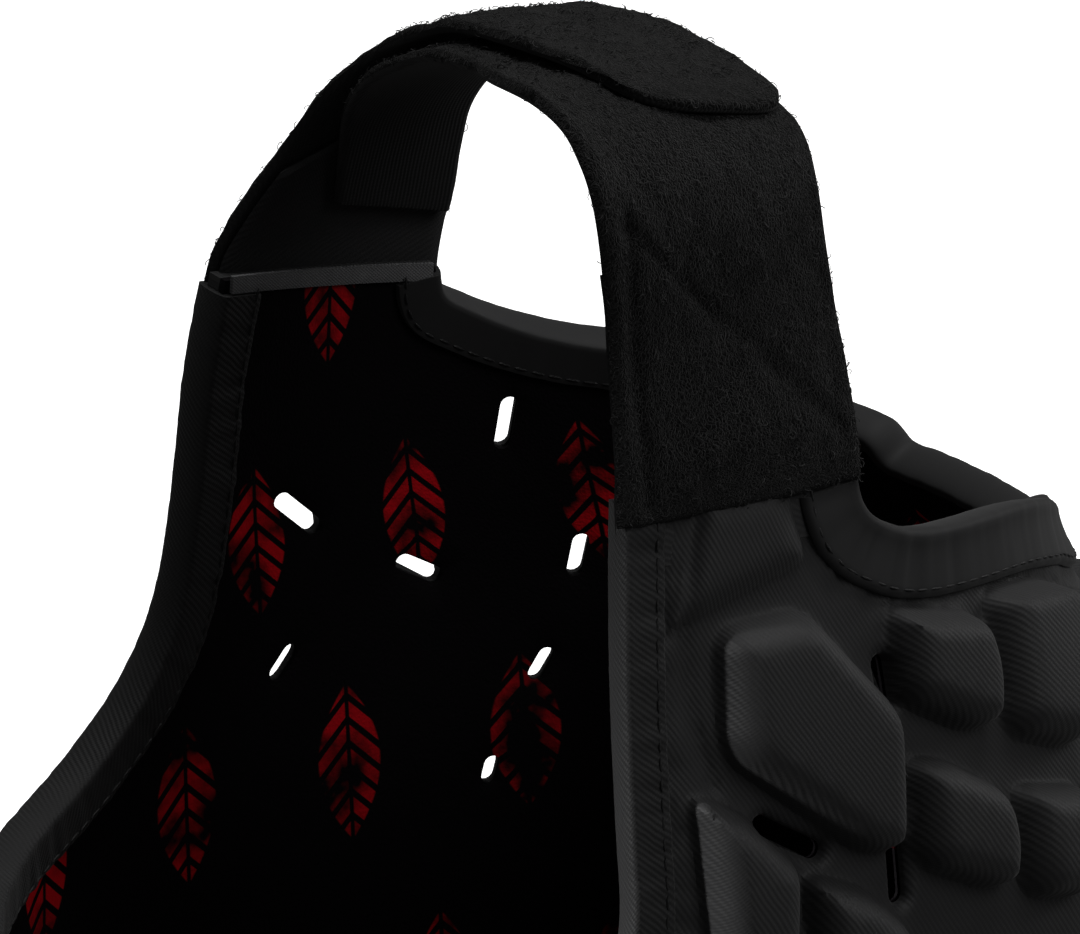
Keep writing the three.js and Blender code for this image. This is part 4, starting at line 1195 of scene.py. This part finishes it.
def stitch_tree():
    """A row of stitches along the edges of another object, laid on their normals."""
    tree = Tree("stitch_row", {"Seam": "Object", "Pitch": "Float", "Stitch": "Float",
                               "Thread": "Float", "Material": "Material"})
    seam = tree.node("GeometryNodeObjectInfo", {0: tree.given["Seam"]})
    line = tree.node("GeometryNodeMeshToCurve", {0: seam.outputs["Geometry"]})
    spaced = tree.node("GeometryNodeResampleCurve", {"Curve": line.outputs[0],
                                                     "Length": tree.given["Pitch"]}, mode="LENGTH")
    facing = tree.node("GeometryNodeInputNamedAttribute", {"Name": "facing"},
                       data_type="FLOAT_VECTOR")
    along = tree.node("GeometryNodeInputTangent")
    turn = tree.node("FunctionNodeAxesToRotation", {0: facing.outputs[0], 1: along.outputs[0]},
                     primary_axis="Z", secondary_axis="X")
    bead = tree.node("GeometryNodeMeshUVSphere", {"Segments": 6, "Rings": 4, "Radius": 0.5})
    size = tree.node("ShaderNodeCombineXYZ", {0: tree.given["Stitch"], 1: tree.given["Thread"],
                                              2: tree.given["Thread"]})
    laid = tree.node("GeometryNodeInstanceOnPoints", {
        "Points": spaced.outputs[0], "Instance": bead.outputs[0], "Rotation": turn.outputs[0],
        "Scale": size.outputs[0]})
    return tree.finish(laid.outputs[0])


def sewn(piece, runs):
    """Lays rows of stitches on a piece along runs of points with the normals there."""
    points, facing, edges = [], [], []
    for line, normals in runs:
        start = len(points)
        points += line.tolist()
        facing.append(normals)
        edges += [(k, k + 1) for k in range(start, start + len(line) - 1)]
    mesh = bpy.data.meshes.new("seam")
    mesh.from_pydata(points, edges, [])
    mesh.attributes.new("facing", "FLOAT_VECTOR", "POINT").data.foreach_set(
        "vector", np.concatenate(facing).ravel())
    seam = placed("seam", mesh)
    grown(piece, stitch_row, Seam=seam, Pitch=stitch_pitch, Stitch=stitch_length,
          Thread=thread_width, Material=black_thread)
    bpy.data.objects.remove(seam)
    bpy.data.meshes.remove(mesh)


def thread_material():
    shader = Shader("black_thread")
    place = shader.node("ShaderNodeTexCoord").outputs["Object"]
    twist = shader.noise(place, 2600.0, 2)
    colour = shader.colour(twist, (0.004, 0.004, 0.0041), (0.014, 0.014, 0.0143))
    return shader.finish(colour, 0.55, twist, 0.00005, specular=0.3)


def binding_fabric():
    shader = Shader("black_binding_twill")
    rib = twill(shader, 0.9, 38)
    fuzz = shader.noise(shader.cloth(), 2.6, 3)
    cloud = shader.noise(shader.cloth(), 0.09, 3)
    # Painted shade: as on the shell, the ribs' valleys are painted darker and their crests lighter,
    # following the bump. The cloud is the tape's own uneven tone.
    colour = shader.colour(shader.mixed((rib, 0.55), (cloud, 0.5)),
                           (0.006, 0.006, 0.0063), (0.019, 0.019, 0.0194))
    return shader.finish(colour, 0.65, shader.mixed((rib, 1), (fuzz, 0.5)), 0.00009,
                         sheen=0.06, specular=0.2)


def puckers(along, depth):
    """Small folds across the tape, strongest towards its stitch row."""
    strength = 0.00006 + 0.0001 * np.clip(np.abs(depth) / 0.006, 0, 1)
    return strength * wander(along * 2200, depth * 200 + 0 * along)


right_front = on_side(1, cheek_lines[1])
left_front = on_side(-1, cheek_lines[-1])
front_rim = rim_across(lambda x: forehead_level + (cheek_lines[1][0, 1] - forehead_level)
                       * np.abs(x / right_front[0, 0]) ** 2, right_front[0, 0] * 0.96, False)
face_line = np.concatenate([right_front[::-1][2:], front_rim[::-1], left_front[:-2]])
face_line = face_line[face_line[:, 2] < cheek_level + 0.0012]
face_part = wrapped(face_line, (face_binding_width - fold, 0.0078), puckers)
face_binding = made_mesh("face_binding_tape", [face_part], sharp=50)
binding_twill = binding_fabric()
black_thread = thread_material()
face_binding.data.materials.append(binding_twill)
stitch_row = stitch_tree()
inner_seam = {"depth": 0.0064, "height": inner_face - 0.0001}
sewn(face_binding, [
    seam_run(face_line, depth=face_binding_width - fold - 0.0016, height=0.00145),
    seam_run(face_line, **inner_seam)])
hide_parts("face_binding")
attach(face_binding, "root")


# Ear and nape binding

# The same tape from one ear cut-out round the nape to the other. It is stretched round the
# tight corners under the chin strap, where it stands in radial folds.


def ear_folds(along, depth):
    """Radial folds near both ends of the tape and faint ones elsewhere."""
    from_end = np.minimum(along, ear_length - along)
    near = np.exp(-((from_end - 0.013) / 0.01) ** 2)
    folds = np.sin(along / 0.0026 * 2 * np.pi + 2.2 * np.sin(along * 900))
    outside = np.clip(depth / 0.002, 0, 1)
    return (0.00007 * wander(along * 1500, depth * 250 + 0 * along)
            + 0.00032 * near * folds * outside)


nape_half = float(seam_half(np.array(nape_level), True))
right_ear, left_ear = (on_side(side, line[sheet_x(line[:, 0], line[:, 1]) > nape_half])
                       for side, line in ear_lines.items())
nape_rim = rim_across(lambda x: nape_level + 0 * x, nape_half * 0.98, True, 50)
ear_line_3d = np.concatenate([right_ear[1:], nape_rim[::-1], left_ear[::-1][:-1]])
ear_line_3d = ear_line_3d[ear_line_3d[:, 2] < cheek_level - 0.0015]
ear_length = np.linalg.norm(np.diff(ear_line_3d, axis=0), axis=1).sum()


def ear_inner_width(line):
    """Wide inside the ears and narrow at the nape, where a vent lies close to the rim."""
    share = np.clip((np.abs(line[:, 0]) - 0.016) / 0.026, 0, 1)
    return 0.0013 + 0.0065 * share * share * (3 - 2 * share)


ear_part = wrapped(ear_line_3d, (ear_binding_width - fold, ear_inner_width), ear_folds)
ear_binding = made_mesh("ear_and_nape_binding_tape", [ear_part], sharp=50)
ear_binding.data.materials.append(binding_twill)
slot_ring = centre_vents[-1].edge()
slot_reach = centre_vents[-1].spot.normal * 0.008
slot_points = np.concatenate([slot_ring - slot_reach, slot_ring + slot_reach])
slot_count = len(slot_ring)
slot_faces = [[k, (k + 1) % slot_count, slot_count + (k + 1) % slot_count, slot_count + k]
              for k in range(slot_count)]
slot_faces += [list(range(slot_count))[::-1], list(range(slot_count, 2 * slot_count))]
slot = made_mesh("slot", [(slot_points, slot_faces, slot_points)])
cut = ear_binding.modifiers.new("slot", "BOOLEAN")
cut.operation, cut.object, cut.solver = "DIFFERENCE", slot, "EXACT"
ear_binding.data = bpy.data.meshes.new_from_object(
    ear_binding.evaluated_get(bpy.context.evaluated_depsgraph_get()))
ear_binding.modifiers.clear()
bpy.data.objects.remove(slot)
wide_inside = 0.045 # from here outwards the tape is wide enough inside for a stitch row
sewn(ear_binding, [
    seam_run(ear_line_3d, depth=ear_binding_width - fold - 0.0014, height=0.0014),
    seam_run(ear_line_3d[ear_line_3d[:, 0] > wide_inside], **inner_seam),
    seam_run(ear_line_3d[ear_line_3d[:, 0] < -wide_inside], **inner_seam)])
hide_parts("ear_and_nape_binding")
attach(ear_binding, "root")


# Lining tapes

# A narrow light grey woven tape covers the end of the lining at each cheek. It is sewn down
# flat on the lining, just below the foam's edge.

tape_width = 0.003
tape_thickness = 0.0007
tape_length_mm = 43


def cheek_tape(side):
    share = np.linspace(0.02, 0.98, 60)
    start, end = cheek_ends[side][[0, -1]]
    line = start + (end - start) * share[:, None]
    depths = np.linspace(-0.001, tape_width - 0.001, 9)
    outer, inner = [], []
    for depth in depths:
        base = on_side(side, line - (0, depth))
        normals = normals_at(base)
        fall = 0.0001 * np.cos((depth / tape_width - 0.5) * np.pi)
        inner.append(base + normals * (lining_bottom - clearance))
        outer.append(base + normals * (lining_bottom - clearance - tape_thickness - fall))
    points = np.concatenate([np.stack(outer, 1).reshape(-1, 3), np.stack(inner, 1).reshape(-1, 3)])
    rows, columns = len(line), len(depths)
    index, quads = grid_quads(rows, columns)
    border = np.concatenate([index[0], index[1:, -1], index[-1, ::-1][1:], index[::-1, 0][1:-1]])
    following = np.roll(border, -1)
    count = rows * columns
    walls = np.stack([border, following, following + count, border + count], -1)
    faces = np.concatenate([quads, quads[:, ::-1] + count, walls[:, ::-1]])
    middle = points[quads[0]]
    turned = np.cross(middle[1] - middle[0], middle[3] - middle[0])
    if turned @ (points[0] - points[count]) < 0:
        faces = faces[:, ::-1]
    cloth = np.stack(np.broadcast_arrays(share[:, None] * tape_length_mm, depths * 1000, 0.0),
                     -1).reshape(-1, 3)
    return points, faces, np.concatenate([cloth, cloth])


def tape_weave():
    shader = Shader("light_grey_tape")
    x, y = shader.cloth_axes()[:2]
    warp, weft = shader.wave(x, 0.7), shader.wave(y, 0.55)
    weave = shader.ramp(shader.math("MULTIPLY", warp, weft), -1, 1)
    soil = shader.noise(shader.cloth(), 0.3, 3)
    # Painted shade: where the weave's bump is high the tape is painted lighter, and where it is low
    # it is painted darker. The soil is uneven grime on the tape.
    colour = shader.colour(shader.mixed((weave, 0.4), (soil, 0.6)),
                           (0.055, 0.055, 0.057), (0.13, 0.13, 0.133))
    return shader.finish(colour, 0.7, weave, 0.0001, specular=0.2)


grey_tape = tape_weave()
for side, name in ((1, "right_lining_tape"), (-1, "left_lining_tape")):
    tape = made_mesh(name + "_strip", [cheek_tape(side)])
    tape.data.materials.append(grey_tape)
    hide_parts(name)
    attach(tape, "root")


# Chin strap

# Two straps of brushed loop tape. The right one is sewn on the outside of the right tab and
# tucked inside the left one, and the left one lies over both and is pressed on.

def right_middle(place):
    """From outside its own tab to inside the left one."""
    drop = tab_thickness + 3 * clearance + strap_thickness
    return clearance - drop * loop_at("laid", place) + strap_thickness / 2


def left_middle(place):
    """From outside its own tab to outside the right strap."""
    drop = clearance + strap_thickness
    return 2 * clearance + strap_thickness - drop * loop_at("laid", place) + strap_thickness / 2


def groove(run, y, start, end, width):
    """How close points of the strap are to a stitched line between two, 1 on the line."""
    start, end = in_mm(start), in_mm(end)
    along = end - start
    away = np.stack([run - start[0], y - start[1]], -1)
    share = np.clip(away @ along / (along @ along), 0, 1)
    distance = np.linalg.norm(away - share[..., None] * along, axis=-1)
    return np.exp(-(distance / width) ** 2)


# The box and cross that sew the right strap to its tab: run from its lower end and y, mm
box_lines = [((3, -31), (47, -31)), ((46, -31), (9, 5)), ((45, 5.2), (2, -31)),
             ((3, 4.6), (46, 4.6))]
box_depths = (0.0008, 0.0006, 0.00035, 0.0002)
right_start = float(np.interp(1, loop_places, loop_run))


def uneven(run, y, shift=0):
    """The pile's own unevenness."""
    return 0.00025 * wander(run * 330, y * 330 + shift) + 0.00012 * wander(run * 1100, y * 1100)


def right_relief(run, y):
    """Stitched-in lines, a folded front edge and uneven pile."""
    above = run - right_start
    sunk = sum(depth * groove(above, y, *line, 0.0011)
               for line, depth in zip(box_lines, box_depths))
    front = strap_middle - 0.5 * strap_width
    hem = 0.0004 * np.exp(-((y - front - 0.0022) / 0.0016) ** 2)
    return uneven(run, y) + hem - sunk


def left_relief(run, y):
    return uneven(run, y, 4)


right_strap = made_mesh("chin_strap_right_tape", [ribbon(
    (1, 1, 16.85, 17.4), right_middle, strap_thickness,
    (strap_edge("right_front"), strap_edge("right_back")), rows=240, columns=62,
    relief=right_relief, ragged=0.02)], sharp=60)
left_strap = made_mesh("chin_strap_left_tape", [ribbon(
    (19, 19, 6.9, 6.7), left_middle, strap_thickness,
    (strap_edge("left_front"), strap_edge("left_back")), rows=220, columns=50,
    relief=left_relief, rounding=1.5)], sharp=60)


def loop_pile():
    shader = Shader("black_loop_pile")
    bend = shader.node("ShaderNodeTexNoise", {"Vector": shader.cloth(), "Scale": 0.9})
    push = shader.node("ShaderNodeVectorMath", {0: bend.outputs["Color"], 1: (1.6, 1.6, 1.6)},
                       operation="MULTIPLY")
    place = shader.node("ShaderNodeVectorMath", {0: shader.cloth(), 1: push.outputs[0]},
                        operation="ADD").outputs[0]
    curl = shader.node("ShaderNodeTexVoronoi", {"Vector": place, "Scale": 1.25},
                       feature="DISTANCE_TO_EDGE").outputs["Distance"]
    strand = shader.ramp(curl, 0.02, 0.2, 1, 0)
    tuft = shader.noise(shader.cloth(), 1.0, 4, 0.7)
    height = shader.mixed((strand, 0.8), (tuft, 1))
    # Painted shade: where the pile's bump is low, in the gaps between the loop strands and on the
    # lower tufts, the colour is painted darker.
    shade = shader.math("MULTIPLY", shader.ramp(tuft, 0.35, 0.7),
                        shader.ramp(strand, 0, 1, 0.35, 1))
    colour = shader.colour(shade, (0.0008, 0.0008, 0.0008), (0.0075, 0.0075, 0.0077))
    return shader.finish(colour, 0.85, height, 0.0008, sheen=0.055, specular=0.07)


def woven_back():
    shader = Shader("black_woven_back")
    weave = twill(shader, 0.7, 90, 0.7, 0.1)
    cloud = shader.noise(shader.cloth(), 0.2, 3)
    # Painted shade: the weave's low threads are painted darker and its crests lighter, following the
    # bump. The cloud is the backing's own uneven tone.
    colour = shader.colour(shader.mixed((weave, 0.5), (cloud, 0.5)),
                           (0.004, 0.004, 0.0042), (0.014, 0.014, 0.0145))
    return shader.finish(colour, 0.75, weave, 0.0001, sheen=0.05, specular=0.2)


def curl_tree():
    """Small curls of thread standing on the faces that carry the pile."""
    tree = Tree("pile_curls", {"Density": "Float", "Radius": "Float", "Thread": "Float",
                               "Seed": "Int", "Material": "Material"})
    slot_of = tree.node("GeometryNodeInputMaterialIndex")
    outer = tree.node("FunctionNodeCompare", {2: slot_of.outputs[0], 3: 0}, data_type="INT",
                      operation="EQUAL")
    spread = tree.node("GeometryNodeDistributePointsOnFaces", {
        "Mesh": tree.given["Geometry"], "Selection": outer.outputs[0],
        "Density": tree.given["Density"], "Seed": tree.given["Seed"]})
    arc = tree.node("GeometryNodeCurveArc", {"Resolution": 6, "Radius": tree.given["Radius"],
                                             "Sweep Angle": math.radians(210)})
    round_thread = tree.node("GeometryNodeCurvePrimitiveCircle", {"Resolution": 3,
                             "Radius": tree.given["Thread"]})
    curl = tree.node("GeometryNodeCurveToMesh", {"Curve": arc.outputs[0],
                                                 "Profile Curve": round_thread.outputs[0]})
    spin = tree.node("FunctionNodeRandomValue", {0: (-0.9, -0.9, 0), 1: (0.9, 0.9, 6.28),
                                                 "Seed": tree.given["Seed"]},
                     data_type="FLOAT_VECTOR")
    turned = tree.node("FunctionNodeRotateRotation", {
        "Rotation": spread.outputs["Rotation"], "Rotate By": spin.outputs[0]})
    turned.rotation_space = "LOCAL"
    size = tree.node("FunctionNodeRandomValue", {2: 0.5, 3: 1.3, "Seed": tree.given["Seed"]},
                     data_type="FLOAT")
    standing = tree.node("GeometryNodeInstanceOnPoints", {
        "Points": spread.outputs["Points"], "Instance": curl.outputs[0],
        "Rotation": turned.outputs[0], "Scale": size.outputs[1]})
    return tree.finish(standing.outputs[0])


pile, back = loop_pile(), woven_back()
pile_curls = curl_tree()
for piece, node, density in ((right_strap, "chin_strap_right", 4.6e5),
                             (left_strap, "chin_strap_left", 4.0e5)):
    piece.data.materials.append(pile)
    piece.data.materials.append(back)
    grown(piece, pile_curls, Density=density, Radius=0.00062, Thread=0.00007, Seed=11,
          Material=black_thread)
    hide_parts(node)
    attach(piece, "root")


# Stage, camera and light

# A white floor and a white room, the camera that was solved from the photo, and soft lights
# in front and above with a narrow one on the near pads.

floor_half = 6.0
floor_level = -0.0005
floor_mesh = bpy.data.meshes.new("floor")
floor_mesh.from_pydata([(x * floor_half, y * floor_half, floor_level)
                        for x, y in ((-1, -1), (1, -1), (1, 1), (-1, 1))], [], [(0, 1, 2, 3)])
floor = placed("floor", floor_mesh)
floor_shader = Shader("pale_floor")
floor_mesh.materials.append(floor_shader.finish((0.9, 0.9, 0.9, 1), 0.9, specular=0.0))
floor_shader.set(floor_shader.surface.inputs["Emission Color"], (1, 1, 1, 1))
floor_shader.set(floor_shader.surface.inputs["Emission Strength"], 0.95)
floor.visible_diffuse = False
floor.visible_glossy = False


def aimed(piece, place, facing):
    """Puts a camera or a light at a place, facing along a direction."""
    piece.location = place
    piece.rotation_mode = "QUATERNION"
    piece.rotation_quaternion = facing.to_track_quat("-Z", "Y")


azimuth = math.radians(58.2)
elevation = math.radians(19.6)
distance = 1.4
target = Vector((0, -0.0096, 0.190))
backwards = Vector((math.sin(azimuth) * math.cos(elevation),
                    -math.cos(azimuth) * math.cos(elevation), math.sin(elevation)))
rightwards = Vector((math.cos(azimuth), math.sin(azimuth), 0))
upwards = backwards.cross(rightwards)
camera_data = bpy.data.cameras.new("camera")
camera_data.lens = 289.9
camera_data.sensor_width = 36
camera = placed("camera", camera_data)
aimed(camera, target + backwards * distance, -backwards)
bpy.context.scene.camera = camera


def area_light(name, right, up, back, size, power, aim=target, spread=180):
    """A soft light at a place given from the target in the camera's directions."""
    data = bpy.data.lights.new(name, "AREA")
    data.shape, data.size, data.energy = "DISK", size, power
    data.spread = math.radians(spread)
    place = target + rightwards * right + upwards * up + backwards * back
    aimed(placed(name, data), place, Vector(aim) - place)


near_pads = (0.09, -0.02, 0.118)
area_light("front_right_light", right=0.95, up=0.6, back=1.1, size=0.8, power=7.2)
area_light("left_strip_light", right=-1.5, up=0.45, back=0.75, size=0.1, power=0.065,
           aim=near_pads, spread=6)
area_light("right_light", right=1.4, up=0.9, back=-0.5, size=0.8, power=5)
area_light("top_light", right=0.2, up=1.6, back=0.4, size=1.0, power=14)

world = bpy.data.worlds.new("white_room")
world.use_nodes = True
room = Nodes(world.node_tree)
seen = room.node("ShaderNodeLightPath").outputs["Is Camera Ray"]
strength = room.node("ShaderNodeMapRange", {"Value": seen, "To Min": 0.1, "To Max": 1.05})
background = room.tree.nodes["Background"]
room.set(background.inputs["Color"], (1, 1, 1, 1))
room.set(background.inputs["Strength"], strength.outputs[0])
bpy.context.scene.world = world
bpy.context.scene.view_settings.view_transform = "Standard"
